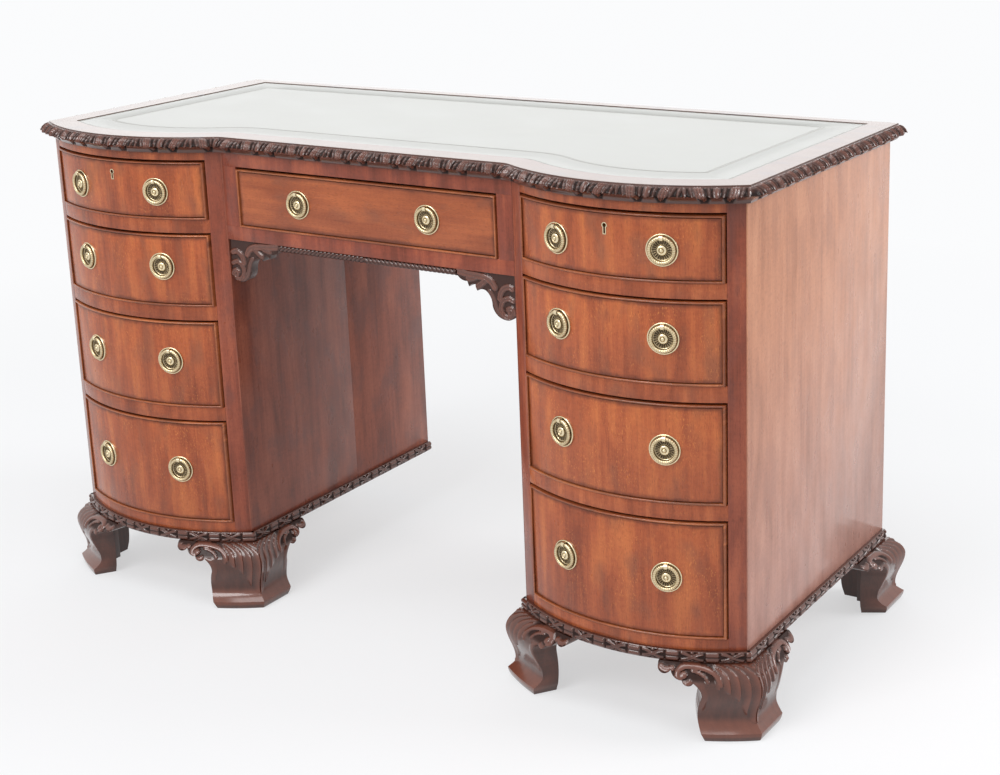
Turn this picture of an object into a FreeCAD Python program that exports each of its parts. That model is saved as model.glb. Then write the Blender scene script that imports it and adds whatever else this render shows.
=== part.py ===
"""Kneehole desk with bow-fronted drawer pedestals, made as separate pieces, in millimetres.

The origin is on the floor under the middle of the desk. +Z is up, and the drawers open towards -Y.
"""
import FreeCAD, Part
import math
import os

from FreeCAD import Vector

# Overall sizes
desk_height = 762.0
carcass_width = 1236.0
carcass_depth = 477.0
kneehole_width = 524.0
bow_rise = 54.0

# Top
top_thickness = 24.0
top_overhang = 7.0
back_overhang = 15.0
edge_nose = 15.0
edge_strip_depth = 14.0
edge_fillet = 2.0
edge_cove_depth = 17.0
cove_radius = 35.0
leather_border = 40.0
leather_back_border = 21.0
leather_thickness = 1.4
leather_gap = 0.3

# Pedestals: face frame and boards, with the rails from the top down
stile_width = 22.5
face_depth = 24.0
side_thickness = 17.0
back_thickness = 12.0
plank_width = 205.0
top_rail_height = 12.5
first_rail_height = 21.0
second_rail_height = 22.5
third_rail_height = 22.0
bottom_rail_height = 17.0

# Frieze over the kneehole
frieze_stile_width = 25.5
frieze_top_rail_height = 21.5
frieze_drawer_height = 92.5
frieze_bottom_rail_height = 21.5
frieze_back_thickness = 20.0
frieze_bead_height = 11.0
frieze_bead_depth = 12.0
bracket_width = 100.0
bracket_drop = 65.5
bracket_thickness = 16.0
bracket_setback = 1.0

# Base mouldings and ogee bracket feet
base_height = 16.0
base_nose = 6.5
base_shoulder = 4.0
base_frame_width = 32.0
foot_height = 106.0
foot_top_reach = 8.0
foot_bulge_reach = 26.5
foot_waist_reach = 15.5
toe_reach = 27.5
toe_foot_reach = 25.5
toe_ridge_height = 11.0
foot_inset = 20.0
wing_length = 120.0
toe_length = 68.0
side_wing_length = 113.0
side_toe_length = 58.0
glue_block_width = 34.0
glue_block_lift = 4.0

# Drawers
front_thickness = 22.0
bead_width = 3.6
bead_proud = 2.6
bead_depth = 9.0
drawer_side_gap = 1.2
drawer_top_gap = 3.2
drawer_bottom_gap = 0.3
drawer_back_gap = 8.0
lining_thickness = 10.0
lining_drop = 12.0
panel_thickness = 6.0
panel_lift = 8.0
groove_depth = 5.0
back_board_drop = 6.0
runner_width = 30.0
guide_height = 12.0

# Ring pulls
plate_radius = 22.0
plate_thickness = 1.5
plate_seat = 1.5
rim_width = 2.4
rim_height = 2.6
dish_radius = 13.5
dish_height = 0.8
boss_radius = 6.9
boss_height = 6.4
boss_shoulder_height = 4.0
ring_radius = 16.4
ring_wire_radius = 2.6
ring_gap = 0.6
lug_width = 5.3
lug_wall = 0.9
lug_clearance = 0.5
stem_radius = 2.4
stem_clearance = 0.2
stem_tail = 1.5
nut_radius = 5.5
nut_thickness = 4.0
nut_seat_gap = 0.1

# Locks of the two top pedestal drawers
lock_width = 56.0
lock_height = 34.0
lock_cover = 1.0
bolt_width = 22.0
bolt_depth = 5.0
bolt_height = 20.0
bolt_gap = 0.3
bolt_throw = 8.0
mortise_gap = 1.0
keyhole_drop = 19.0
keyhole_radius = 2.7
keyhole_slot_width = 2.6
keyhole_slot_drop = 11.0
escutcheon_wall = 1.2
escutcheon_depth = 4.0
escutcheon_proud = 0.4

# Shares of the sizes above
drawer_height_shares = (0.1768, 0.2232, 0.2726, 0.3274)
handle_height_shares = (0.468, 0.543, 0.532, 0.513)
handle_spread_share = 0.508
frieze_handle_height_share = 0.485
frieze_handle_spread_share = 0.497
bead_round_share = 0.45
long_edge_share = 1.5
bulge_height_share = 0.68
waist_height_share = 0.25
edge_nose_height_share = 0.52
boss_ring_share = 0.5
boss_groove_share = 0.34
boss_dip_share = 0.8

# Worked-out places
half_width = carcass_width / 2
half_kneehole = kneehole_width / 2
half_pedestal = (half_width - half_kneehole) / 2
pedestal_x = (half_width + half_kneehole) / 2
half_opening = half_pedestal - stile_width
bow_radius = (half_pedestal ** 2 + bow_rise ** 2) / (2 * bow_rise)
front_reach = bow_rise + top_overhang + edge_nose
back_reach = carcass_depth + max(back_overhang, toe_reach)
corner_y = (front_reach - back_reach) / 2
bow_centre = Vector(0, corner_y + bow_radius - bow_rise, 0)
face_back_y = corner_y + face_depth
case_back_y = corner_y + carcass_depth
panel_front_y = case_back_y - back_thickness
carcass_bottom = foot_height + base_height
carcass_top = desk_height - top_thickness
frieze_bottom = (carcass_top - frieze_top_rail_height - frieze_drawer_height
                 - frieze_bottom_rail_height)
half_frieze_opening = half_kneehole - frieze_stile_width
frieze_back_y = case_back_y - frieze_back_thickness
drawer_back_y = panel_front_y - drawer_back_gap
frieze_drawer_back_y = frieze_back_y - drawer_back_gap
ring_reach = plate_thickness + ring_gap + ring_wire_radius
lug_bore_radius = ring_wire_radius + lug_clearance
overrun = carcass_width
up = Vector(0, 0, 1)


def pedestal_openings():
    """Heights (low, high) of a pedestal's four drawer openings, from the top down."""
    rails = [first_rail_height, second_rail_height, third_rail_height, bottom_rail_height]
    high = carcass_top - top_rail_height
    room = high - carcass_bottom - sum(rails)
    openings = []
    for share, rail in zip(drawer_height_shares, rails):
        openings.append((high - room * share, high))
        high -= room * share + rail
    return openings


def frieze_opening():
    """Height (low, high) of the drawer opening in the frieze."""
    low = frieze_bottom + frieze_bottom_rail_height
    return low, low + frieze_drawer_height


# Small building blocks

def box(x_span, y_span, z_span):
    corner = Vector(x_span[0], y_span[0], z_span[0])
    sizes = [span[1] - span[0] for span in (x_span, y_span, z_span)]
    return Part.makeBox(*sizes, corner)


def face_of(edges):
    return Part.Face(Part.Wire(Part.__sortEdges__(edges)))


def arc(start, middle, end):
    return Part.Arc(start, middle, end).toShape()


def outline_face(points):
    return Part.Face(Part.makePolygon(points + points[:1]))


def mirrored(shape):
    return shape.mirror(Vector(), Vector(1, 0, 0))


def moved(shape, place):
    copy = shape.copy()
    copy.translate(place)
    return copy


def on_side(shape, side):
    """A shape made about a pedestal's own middle, put on the right (1) or the left (-1)."""
    placed = moved(shape, Vector(pedestal_x, 0, 0))
    return placed if side > 0 else mirrored(placed)


def group(solids):
    return Part.makeCompound(solids)


def front_y(x, outset, bowed):
    """Y of a drawer face at x, moved outwards by outset."""
    if not bowed:
        return corner_y - outset
    return bow_centre.y - math.sqrt((bow_radius + outset) ** 2 - x ** 2)


def front_edge(x_span, outset, bowed):
    """Edge of a drawer face in plan, moved outwards by outset."""
    xs = (x_span[0], (x_span[0] + x_span[1]) / 2, x_span[1])
    start, middle, end = [Vector(x, front_y(x, outset, bowed), 0) for x in xs]
    return arc(start, middle, end) if bowed else Part.makeLine(start, end)


def raised(edges, z_span):
    face = face_of(edges)
    face.translate(up * z_span[0])
    return face.extrude(up * (z_span[1] - z_span[0]))


def slab(x_span, outset, back_y, z_span, bowed=True):
    """Board whose front follows the drawer face and whose back is straight."""
    front = front_edge(x_span, outset, bowed)
    low = Vector(x_span[0], front_y(x_span[0], outset, bowed), 0)
    high = Vector(x_span[1], front_y(x_span[1], outset, bowed), 0)
    back = [low, Vector(low.x, back_y, 0), Vector(high.x, back_y, 0), high]
    return raised([front] + Part.makePolygon(back).Edges, z_span)


def parallel_board(x_span, outset, inset, z_span, bowed=True):
    """Board whose front and back both follow the drawer face."""
    ends = []
    for x in x_span:
        front = Vector(x, front_y(x, outset, bowed), 0)
        back = Vector(x, front_y(x, -inset, bowed), 0)
        ends.append(Part.makeLine(front, back))
    edges = [front_edge(x_span, outset, bowed), front_edge(x_span, -inset, bowed)]
    return raised(edges + ends, z_span)


# Runs of moulding. A section lies in the XZ plane, with +X pointing out of the desk.

def arc_run(section, centre, radius, start, end, outward=1):
    """Section swept round an upright axis, from one angle to another, in degrees."""
    run = section.copy()
    run.rotate(Vector(), up, start if outward > 0 else start + 180)
    angle = math.radians(start)
    run.translate(centre + Vector(math.cos(angle), math.sin(angle), 0) * radius)
    return run.revolve(centre, up, end - start)


def straight_run(section, start, end):
    """Section swept along a line, with the outside on the right of the way it goes."""
    way = end - start
    run = section.copy()
    run.rotate(Vector(), up, math.degrees(math.atan2(way.y, way.x)) - 90)
    run.translate(start)
    return run.extrude(way)


def left_of(start, end):
    """Large block on the left of the upright plane through two points, for cutting mitres."""
    way = end - start
    block = box((-overrun, overrun), (0, overrun), (-overrun, overrun))
    block.rotate(Vector(), up, math.degrees(math.atan2(way.y, way.x)))
    block.translate(start)
    return block


def pedestal_corner(offset):
    """Right front corner of a pedestal's plan, moved outwards by offset on both faces."""
    x = half_pedestal + offset
    return Vector(x, front_y(x, offset, True), 0)


def plan_angle(point):
    """Angle of a point about the bow's axis, in degrees."""
    way = point - bow_centre
    return math.degrees(math.atan2(way.y, way.x))


# Top

def front_outline(offset):
    """Right half of the top's front edge, from the middle to the right corner, moved outwards."""
    radius = bow_radius + top_overhang + offset
    cove = cove_radius - offset
    line_y = corner_y - top_overhang - offset
    centre = Vector(pedestal_x, bow_centre.y, 0)
    rise = centre.y - (line_y - cove)
    cove_centre = Vector(pedestal_x - math.sqrt((radius + cove) ** 2 - rise ** 2), line_y - cove, 0)
    meeting = cove_centre + (centre - cove_centre) * (cove / (radius + cove))
    corner_x = half_width + top_overhang + offset
    corner = Vector(corner_x, centre.y - math.sqrt(radius ** 2 - (corner_x - pedestal_x) ** 2), 0)
    return {"radius": radius, "cove": cove, "centre": centre, "cove_centre": cove_centre,
            "line_end": Vector(cove_centre.x, line_y, 0), "meeting": meeting, "corner": corner}


def arc_about(centre, radius, start, end):
    """Short arc between two points at the same distance from a centre."""
    middle = (start + end) / 2 - centre
    return arc(start, centre + middle * (radius / middle.Length), end)


def top_plan(offset, side_inset, back_y):
    """Closed plan edges of the top: bowed front, straight sides and straight back."""
    half = front_outline(offset)
    side_x = half_width + top_overhang - side_inset
    drop = math.sqrt(half["radius"] ** 2 - (side_x - pedestal_x) ** 2)
    corner = Vector(side_x, half["centre"].y - drop, 0)
    back = Vector(side_x, back_y, 0)
    right = [arc_about(half["cove_centre"], half["cove"], half["line_end"], half["meeting"]),
             arc_about(half["centre"], half["radius"], half["meeting"], corner),
             Part.makeLine(corner, back)]
    across = [Part.makeLine(half["line_end"], mirror_point(half["line_end"])),
              Part.makeLine(back, mirror_point(back))]
    return right + [mirrored(edge) for edge in right] + across


def mirror_point(point):
    return Vector(-point.x, point.y, point.z)


top_back_y = case_back_y + back_overhang
leather_back_y = top_back_y - leather_back_border


def leather_plan(gap):
    return top_plan(-leather_border - gap, leather_border + gap, leather_back_y - gap)


def top_board():
    board = raised(top_plan(-edge_strip_depth, edge_strip_depth, top_back_y), (carcass_top, desk_height))
    recess = raised(leather_plan(0), (desk_height - leather_thickness, desk_height + top_thickness))
    return board.cut(recess)


def writing_leather():
    return raised(leather_plan(leather_gap), (desk_height - leather_thickness, desk_height))


def edge_section():
    """Section of the top's edge: a fillet, a full ovolo and a cove tucked under it."""
    nose_z = desk_height - top_thickness * edge_nose_height_share
    cove_x = edge_nose - edge_cove_depth
    inner_low = Vector(-edge_strip_depth, 0, carcass_top)
    inner_high = Vector(-edge_strip_depth, 0, desk_height)
    arris = Vector(0, 0, desk_height)
    fillet = Vector(0, 0, desk_height - edge_fillet)
    nose = Vector(edge_nose, 0, nose_z)
    ovolo = fillet + (nose - fillet) / 2 + Vector(edge_fillet, 0, edge_fillet)
    foot = Vector(cove_x, 0, carcass_top)
    cove = foot + (nose - foot) / 2 + Vector(-edge_fillet, 0, edge_fillet)
    edges = Part.makePolygon([foot, inner_low, inner_high, arris, fillet]).Edges
    return face_of(edges + [arc(fillet, ovolo, nose), arc(nose, cove, foot)])


def top_edge_moulding():
    """Five lengths of edge moulding: two bows, the straight middle with its coves, two sides."""
    section = edge_section()
    half = front_outline(0)
    inner = front_outline(-edge_strip_depth)["corner"]
    outer = front_outline(edge_nose)["corner"]
    bow_start = math.degrees(math.atan2(half["meeting"].y - half["centre"].y,
                                        half["meeting"].x - half["centre"].x))
    bow = arc_run(section, half["centre"], half["radius"], bow_start, 0)
    bow = bow.cut(left_of(inner, outer))
    side = straight_run(section, Vector(half["corner"].x, outer.y, 0),
                        Vector(half["corner"].x, top_back_y, 0))
    side = side.cut(left_of(outer, inner))
    cove_end = math.degrees(math.atan2(half["centre"].y - half["cove_centre"].y,
                                       half["centre"].x - half["cove_centre"].x))
    cove = arc_run(section, half["cove_centre"], half["cove"], 90, cove_end, -1)
    middle = straight_run(section, mirror_point(half["line_end"]), half["line_end"])
    middle = middle.fuse([cove, mirrored(cove)])
    return group([bow, mirrored(bow), side, mirrored(side), middle])


# Pedestals and frieze

def pedestal_case():
    """Face frame, side planks, back panel and bottom board of one pedestal."""
    heights = (carcass_bottom, carcass_top)
    openings = pedestal_openings()
    stile = slab((half_opening, half_pedestal), 0, face_back_y, heights)
    inner_x = half_pedestal - side_thickness
    seam_y = case_back_y - plank_width
    front_plank = box((inner_x, half_pedestal), (face_back_y, seam_y), heights)
    rear_plank = box((inner_x, half_pedestal), (seam_y, case_back_y), heights)
    right_side = [stile, front_plank, rear_plank]
    levels = [carcass_top] + [z for opening in openings for z in reversed(opening)] + [carcass_bottom]
    rails = []
    for high, low in zip(levels[0::2], levels[1::2]):
        rails.append(slab((-half_opening, half_opening), 0, face_back_y, (low, high)))
    rails[0] = rails[0].cut(bolt_mortise(openings[0][1]))
    back = box((-inner_x, inner_x), (panel_front_y, case_back_y), heights)
    bottom = box((-inner_x, inner_x), (face_back_y, panel_front_y),
                 (carcass_bottom, carcass_bottom + bottom_rail_height))
    return group(right_side + [mirrored(solid) for solid in right_side] + rails + [back, bottom])


def frieze_frame():
    """Rails and stiles round the middle drawer, and the rail across the back."""
    low, high = frieze_opening()
    face = (corner_y, face_back_y)
    width = (-half_kneehole, half_kneehole)
    top_rail = box(width, face, (high, carcass_top))
    bottom_rail = box(width, face, (frieze_bottom, low))
    stile = box((half_frieze_opening, half_kneehole), face, (low, high))
    back = box(width, (frieze_back_y, case_back_y), (frieze_bottom, carcass_top))
    return group([top_rail, bottom_rail, stile, mirrored(stile), back])


def runner(wall_x, guide_x, y_span, z_span):
    """Right-hand drawer runner, and the guide that stands on it along the wall."""
    strip = box((guide_x - runner_width, wall_x), y_span, z_span)
    guide = box((guide_x, wall_x), y_span, (z_span[1], z_span[1] + guide_height))
    return [strip, guide]


def drawer_runners():
    """Runners, bottom guides and top kickers of all nine drawers."""
    wall_x = half_pedestal - side_thickness
    y_span = (face_back_y, panel_front_y)
    openings = pedestal_openings()
    strips = []
    for upper, lower in zip(openings, openings[1:]):
        strips += runner(wall_x, half_opening, y_span, (lower[1], upper[0]))
    bottom = openings[-1][0]
    strips.append(box((half_opening, wall_x), y_span, (bottom, bottom + guide_height)))
    strips.append(box((half_opening - runner_width, wall_x), y_span, (openings[0][1], carcass_top)))
    both = strips + [mirrored(strip) for strip in strips]
    solids = [on_side(strip, side) for side in (1, -1) for strip in both]
    low, high = frieze_opening()
    y_span = (face_back_y, frieze_back_y)
    middle = runner(half_kneehole, half_frieze_opening, y_span, (frieze_bottom, low))
    middle.append(box((half_frieze_opening - runner_width, half_kneehole), y_span, (high, carcass_top)))
    return group(solids + middle + [mirrored(strip) for strip in middle])


def frieze_bead():
    """Half-round strip under the frieze, between the two brackets."""
    end_x = half_kneehole - bracket_width
    radius = frieze_bead_height / 2
    low = frieze_bottom - frieze_bead_height
    corners = [Vector(-radius, 0, frieze_bottom), Vector(-frieze_bead_depth, 0, frieze_bottom),
               Vector(-frieze_bead_depth, 0, low), Vector(-radius, 0, low)]
    nose = arc(corners[-1], Vector(0, 0, low + radius), corners[0])
    section = face_of(Part.makePolygon(corners).Edges + [nose])
    return straight_run(section, Vector(-end_x, corner_y, 0), Vector(end_x, corner_y, 0))


# Bracket outline as shares of its width, from the pedestal, and of its drop, from the frieze
bracket_tip_shares = ((1.0, 0.0), (0.985, 0.14))
bracket_leaf_shares = (((0.90, 0.24), (0.82, 0.25)), ((0.805, 0.31), (0.79, 0.365)),
                       ((0.75, 0.315), (0.68, 0.30)), ((0.675, 0.37), (0.65, 0.435)),
                       ((0.58, 0.39), (0.51, 0.405)), ((0.445, 0.50), (0.405, 0.71)),
                       ((0.34, 0.90), (0.20, 1.0)), ((0.09, 0.98), (0.02, 0.88)))


def kneehole_brackets():
    """Scrolled bracket in each upper corner of the kneehole."""
    def place(shares):
        across, down = shares
        return Vector(half_kneehole - across * bracket_width, 0, frieze_bottom - down * bracket_drop)

    tip, here = [place(shares) for shares in bracket_tip_shares]
    edges = [Part.makeLine(tip, here)]
    for middle, end in bracket_leaf_shares:
        edges.append(arc(here, place(middle), place(end)))
        here = place(end)
    seat = Vector(half_kneehole, 0, here.z)
    edges += Part.makePolygon([here, seat, place((0, 0)), tip]).Edges
    face = face_of(edges)
    face.translate(Vector(0, corner_y + bracket_setback, 0))
    bracket = face.extrude(Vector(0, bracket_thickness, 0))
    return group([bracket, mirrored(bracket)])


# Base mouldings and feet, about a pedestal's own middle

def base_section():
    low = Vector(base_shoulder, 0, foot_height)
    high = Vector(base_shoulder, 0, carcass_bottom)
    nose = Vector(base_nose, 0, (foot_height + carcass_bottom) / 2)
    back = [high, Vector(-base_frame_width, 0, carcass_bottom),
            Vector(-base_frame_width, 0, foot_height), low]
    return face_of(Part.makePolygon(back).Edges + [arc(low, nose, high)])


def pedestal_base():
    """Bowed front moulding, two side mouldings and a plain back rail."""
    section = base_section()
    inner = pedestal_corner(-base_frame_width)
    outer = pedestal_corner(base_nose)
    front = arc_run(section, bow_centre, bow_radius, -180, 0)
    mitre = left_of(inner, outer)
    front = front.cut([mitre, mirrored(mitre)])
    side = straight_run(section, Vector(half_pedestal, outer.y, 0), Vector(half_pedestal, case_back_y, 0))
    side = side.cut(left_of(outer, inner))
    rail_x = half_pedestal - base_frame_width
    rail = box((-rail_x, rail_x), (case_back_y - base_frame_width, case_back_y),
               (foot_height, carcass_bottom))
    return [front, side, mirrored(side), rail]


def base_mouldings():
    return group([on_side(solid, side) for side in (1, -1) for solid in pedestal_base()])


def ogee_section():
    """Section through a foot: bulge, waist and a toe with a sharp ridge."""
    curve = [Vector(foot_top_reach, 0, foot_height),
             Vector(foot_bulge_reach, 0, foot_height * bulge_height_share),
             Vector(foot_waist_reach, 0, foot_height * waist_height_share),
             Vector(toe_reach, 0, toe_ridge_height)]
    spline = Part.BSplineCurve()
    spline.interpolate(Points=curve, InitialTangent=Vector(2, 0, -1), FinalTangent=Vector(1, 0, -1))
    rest = [curve[-1], Vector(toe_foot_reach, 0, 0), Vector(-foot_inset, 0, 0),
            Vector(-foot_inset, 0, foot_height), curve[0]]
    return face_of([spline.toShape()] + Part.makePolygon(rest).Edges)


# Lower edge of a foot's wing, from the toe to the tip: shares of the wing's length past the toe
# and of the foot's height, each arc by its middle and its end
wing_edge_shares = (((0.03, 0.19), (-0.02, 0.59)), ((0.03, 0.73), (0.155, 0.80)),
                    ((0.29, 0.765), (0.40, 0.825)), ((0.565, 0.85), (0.67, 0.925)),
                    ((0.845, 0.885), (0.98, 0.93)), ((0.996, 0.965), (1.0, 1.0)))


def wing_prism(corner, along, length, toe):
    """Block with a wing's front outline, which starts at a corner and runs along a face."""
    def place(shares):
        past, rise = shares
        return Vector(toe + past * (length - toe), 0, rise * foot_height)

    start = Vector(-foot_height, 0, 0)
    here = Vector(toe, 0, 0)
    edges = [Part.makeLine(start, here)]
    for middle, end in wing_edge_shares:
        edges.append(arc(here, place(middle), place(end)))
        here = place(end)
    edges += Part.makePolygon([here, start + up * foot_height, start]).Edges
    prism = face_of(edges).extrude(Vector(0, 2 * wing_length, 0))
    prism.translate(Vector(0, -wing_length, 0))
    prism.rotate(Vector(), up, math.degrees(math.atan2(along.y, along.x)))
    prism.translate(corner)
    return prism


def side_wing_prism(corner, along):
    return wing_prism(corner, along, side_wing_length, side_toe_length)


def front_foot():
    """Right front foot of a pedestal: bowed wing, straight side wing and glue block."""
    section = ogee_section()
    corner = pedestal_corner(0)
    inner = pedestal_corner(-foot_inset)
    outer = pedestal_corner(toe_reach)
    sweep = math.degrees(wing_length / bow_radius)
    start = plan_angle(corner) - 2 * sweep
    bowed = arc_run(section, bow_centre, bow_radius, start, 0).cut(left_of(inner, outer))
    middle = math.radians(plan_angle(corner) - sweep / 2)
    along = Vector(math.sin(middle), -math.cos(middle), 0)
    bowed = bowed.common(wing_prism(corner, along, wing_length, toe_length))
    side_end = Vector(corner.x, corner.y + 2 * wing_length, 0)
    side = straight_run(section, Vector(corner.x, outer.y, 0), side_end)
    side = side.cut(left_of(outer, inner)).common(side_wing_prism(corner, Vector(0, 1, 0)))
    block_x = half_pedestal - foot_inset
    block = slab((block_x - glue_block_width, block_x), -foot_inset, corner_y + glue_block_width,
                 (glue_block_lift, foot_height))
    return [bowed, side, block]


def rear_foot():
    """Right rear foot of a pedestal: side wing, back wing and glue block."""
    section = ogee_section()
    corner = Vector(half_pedestal, case_back_y, 0)
    inner = corner + Vector(-foot_inset, -foot_inset, 0)
    outer = corner + Vector(toe_reach, toe_reach, 0)
    side = straight_run(section, corner - Vector(0, 2 * wing_length, 0), Vector(corner.x, outer.y, 0))
    side = side.cut(left_of(inner, outer)).common(side_wing_prism(corner, Vector(0, -1, 0)))
    back = straight_run(section, Vector(outer.x, corner.y, 0), corner - Vector(2 * wing_length, 0, 0))
    back = back.cut(left_of(outer, inner)).common(side_wing_prism(corner, Vector(-1, 0, 0)))
    block = box((inner.x - glue_block_width, inner.x), (inner.y - glue_block_width, inner.y),
                (glue_block_lift, foot_height))
    return [side, back, block]


def bracket_feet():
    """Two front feet and an outer rear foot under each pedestal."""
    front = front_foot()
    feet = front + [mirrored(solid) for solid in front] + rear_foot()
    return group([on_side(solid, side) for side in (1, -1) for solid in feet])


# Drawers, about the middle of their opening

def rounded_nose(strip):
    """Bead strip with the two long edges of its front face rounded."""
    nose = min(strip.Faces, key=lambda face: face.CenterOfMass.y)
    long_edges = [edge for edge in nose.Edges if edge.Length > bead_width * long_edge_share]
    return strip.makeFillet(bead_width * bead_round_share, long_edges)


def cock_beads(x_span, z_span, bowed):
    """Four bead strips let into the edges of a drawer front."""
    beads = []
    for low in (z_span[0], z_span[1] - bead_width):
        beads.append(parallel_board(x_span, bead_proud, bead_depth, (low, low + bead_width), bowed))
    between = (z_span[0] + bead_width, z_span[1] - bead_width)
    for low in (x_span[0], x_span[1] - bead_width):
        beads.append(parallel_board((low, low + bead_width), bead_proud, bead_depth, between, bowed))
    return beads


def drawer_spans(opening, half_gap):
    """Drawer front's x and z spans inside its opening."""
    x = half_gap - drawer_side_gap
    return (-x, x), (opening[0] + drawer_bottom_gap, opening[1] - drawer_top_gap)


def drawer_lining(x_span, z_span, back_y, bowed):
    """Two grooved sides, a back and a bottom panel."""
    outer_x = x_span[1]
    inner_x = outer_x - lining_thickness
    low = z_span[0]
    high = z_span[1] - lining_drop
    panel_span = (low + panel_lift, low + panel_lift + panel_thickness)
    groove_x = inner_x + groove_depth
    panel = slab((-groove_x, groove_x), groove_depth - front_thickness, back_y, panel_span, bowed)
    side = slab((inner_x, outer_x), -front_thickness, back_y, (low, high), bowed).cut(panel)
    back = box((-inner_x, inner_x), (back_y - lining_thickness, back_y),
               (panel_span[1], high - back_board_drop))
    return [side, mirrored(side), back, panel]


def drawer_front(x_span, z_span, panel, handles, bowed):
    """Front board with its four cock beads, grooved for the bottom and bored for the pulls."""
    beads = cock_beads(x_span, z_span, bowed)
    board = parallel_board(x_span, 0, front_thickness, z_span, bowed)
    bore = Part.makeCylinder(stem_radius + stem_clearance, 2 * front_thickness,
                             Vector(0, -front_thickness / 2, 0), Vector(0, 1, 0))
    bores = [placed_on_front(bore, handle) for handle in handles]
    board = board.cut(beads + [panel] + bores)
    return [board] + [rounded_nose(bead) for bead in beads]


# Ring pulls, made about the middle of the plate's back with -Y pointing out of the drawer

def handle_places(spread, opening, height_share, bowed):
    """Middle and turn of each pull on a drawer front."""
    places = []
    z = opening[0] + (opening[1] - opening[0]) * height_share
    for x in (-spread, spread):
        turn = math.degrees(math.asin(x / bow_radius)) if bowed else 0
        places.append((Vector(x, front_y(x, 0, bowed), z), turn))
    return places


def placed_on_front(shape, handle):
    place, turn = handle
    placed = shape.copy()
    placed.rotate(Vector(), up, turn)
    placed.translate(place)
    return placed


def plate_section():
    """Half section of a back plate: rim, flat track, dish and turned boss."""
    def point(radius, out):
        return Vector(radius, -out, 0)

    rim_start = plate_radius - rim_width
    rim = arc(point(plate_radius, plate_thickness), point(plate_radius - rim_width / 2, rim_height),
              point(rim_start, plate_thickness))
    ring_x = boss_radius * boss_ring_share
    groove_x = boss_radius * boss_groove_share
    boss = [point(rim_start, plate_thickness), point(dish_radius, plate_thickness),
            point(dish_radius, dish_height), point(boss_radius, dish_height),
            point(boss_radius, boss_shoulder_height), point(ring_x, boss_height * boss_dip_share),
            point(groove_x, boss_height * boss_dip_share), point(groove_x, boss_height),
            point(0, boss_height), point(0, -plate_seat), point(plate_radius, -plate_seat),
            point(plate_radius, plate_thickness)]
    return face_of([rim] + Part.makePolygon(boss).Edges)


def handle_plate():
    """Plate with its lug and boss."""
    plate = plate_section().revolve(Vector(), Vector(0, 1, 0), 360)
    start = Vector(-lug_width / 2, -ring_reach, ring_radius)
    across = Vector(1, 0, 0)
    eye_radius = lug_bore_radius + lug_wall
    eye = Part.makeCylinder(eye_radius, lug_width, start, across)
    neck = box((-lug_width / 2, lug_width / 2), (-ring_reach, 0),
               (ring_radius - eye_radius, ring_radius + eye_radius))
    bore = Part.makeCylinder(lug_bore_radius, lug_width, start, across)
    return plate.fuse([eye, neck]).cut(bore)


def handle_stem():
    length = front_thickness + nut_seat_gap + nut_thickness + stem_tail
    return Part.makeCylinder(stem_radius, length, Vector(), Vector(0, 1, 0))


def handle_nut():
    """Six-sided nut behind the drawer front."""
    start_y = front_thickness + nut_seat_gap
    corners = []
    for index in range(6):
        angle = math.radians(60 * index)
        corners.append(Vector(nut_radius * math.cos(angle), start_y, nut_radius * math.sin(angle)))
    nut = outline_face(corners).extrude(Vector(0, nut_thickness, 0))
    bore = Part.makeCylinder(stem_radius + stem_clearance, nut_thickness, Vector(0, start_y, 0),
                             Vector(0, 1, 0))
    return nut.cut(bore)


def handle_plates(handles, x_span, z_span, bowed):
    """Two back plates seated on the drawer front, each with its stem and nut."""
    face = parallel_board(x_span, 0, front_thickness, z_span, bowed)
    solids = []
    for handle in handles:
        plate = placed_on_front(handle_plate(), handle).cut(face)
        solids.append(plate.fuse(placed_on_front(handle_stem(), handle)))
        solids.append(placed_on_front(handle_nut(), handle))
    return solids


def pull_ring():
    return Part.makeTorus(ring_radius, ring_wire_radius, Vector(0, -ring_reach, 0), Vector(0, 1, 0))


# Locks, about a pedestal's own middle, for a drawer front with its top edge at a height

def lock_face_y():
    """Front of the lock case, clear of the cock bead over the whole width of the case."""
    return front_y(lock_width / 2, -bead_depth, True) + lock_cover


def lock_back_y():
    return front_y(0, -front_thickness, True)


def lock_pocket(top):
    half = lock_width / 2
    return box((-half, half), (lock_face_y(), lock_back_y() + front_thickness), (top - lock_height, top))


def bolt_box(gap, z_span):
    """Upright block round the bolt, with a gap on its four sides."""
    middle_y = (lock_face_y() + lock_back_y()) / 2
    x = bolt_width / 2 + gap
    y = bolt_depth / 2 + gap
    return box((-x, x), (middle_y - y, middle_y + y), z_span)


def lock_bolt(top):
    return bolt_box(0, (top - bolt_height, top))


def bolt_mortise(opening_top):
    depth = bolt_throw - drawer_top_gap + mortise_gap
    return bolt_box(mortise_gap, (opening_top, opening_top + depth))


def keyhole(wall, y_span, top):
    """Keyhole-shaped block, grown by a wall all round."""
    centre_z = top - keyhole_drop
    round_part = Part.makeCylinder(keyhole_radius + wall, y_span[1] - y_span[0],
                                   Vector(0, y_span[0], centre_z), Vector(0, 1, 0))
    x = keyhole_slot_width / 2 + wall
    slot = box((-x, x), y_span, (centre_z - keyhole_slot_drop - wall, centre_z))
    return round_part.fuse(slot).removeSplitter()


def escutcheon_span():
    face_y = front_y(0, 0, True)
    return face_y - escutcheon_proud, face_y + escutcheon_depth


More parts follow.
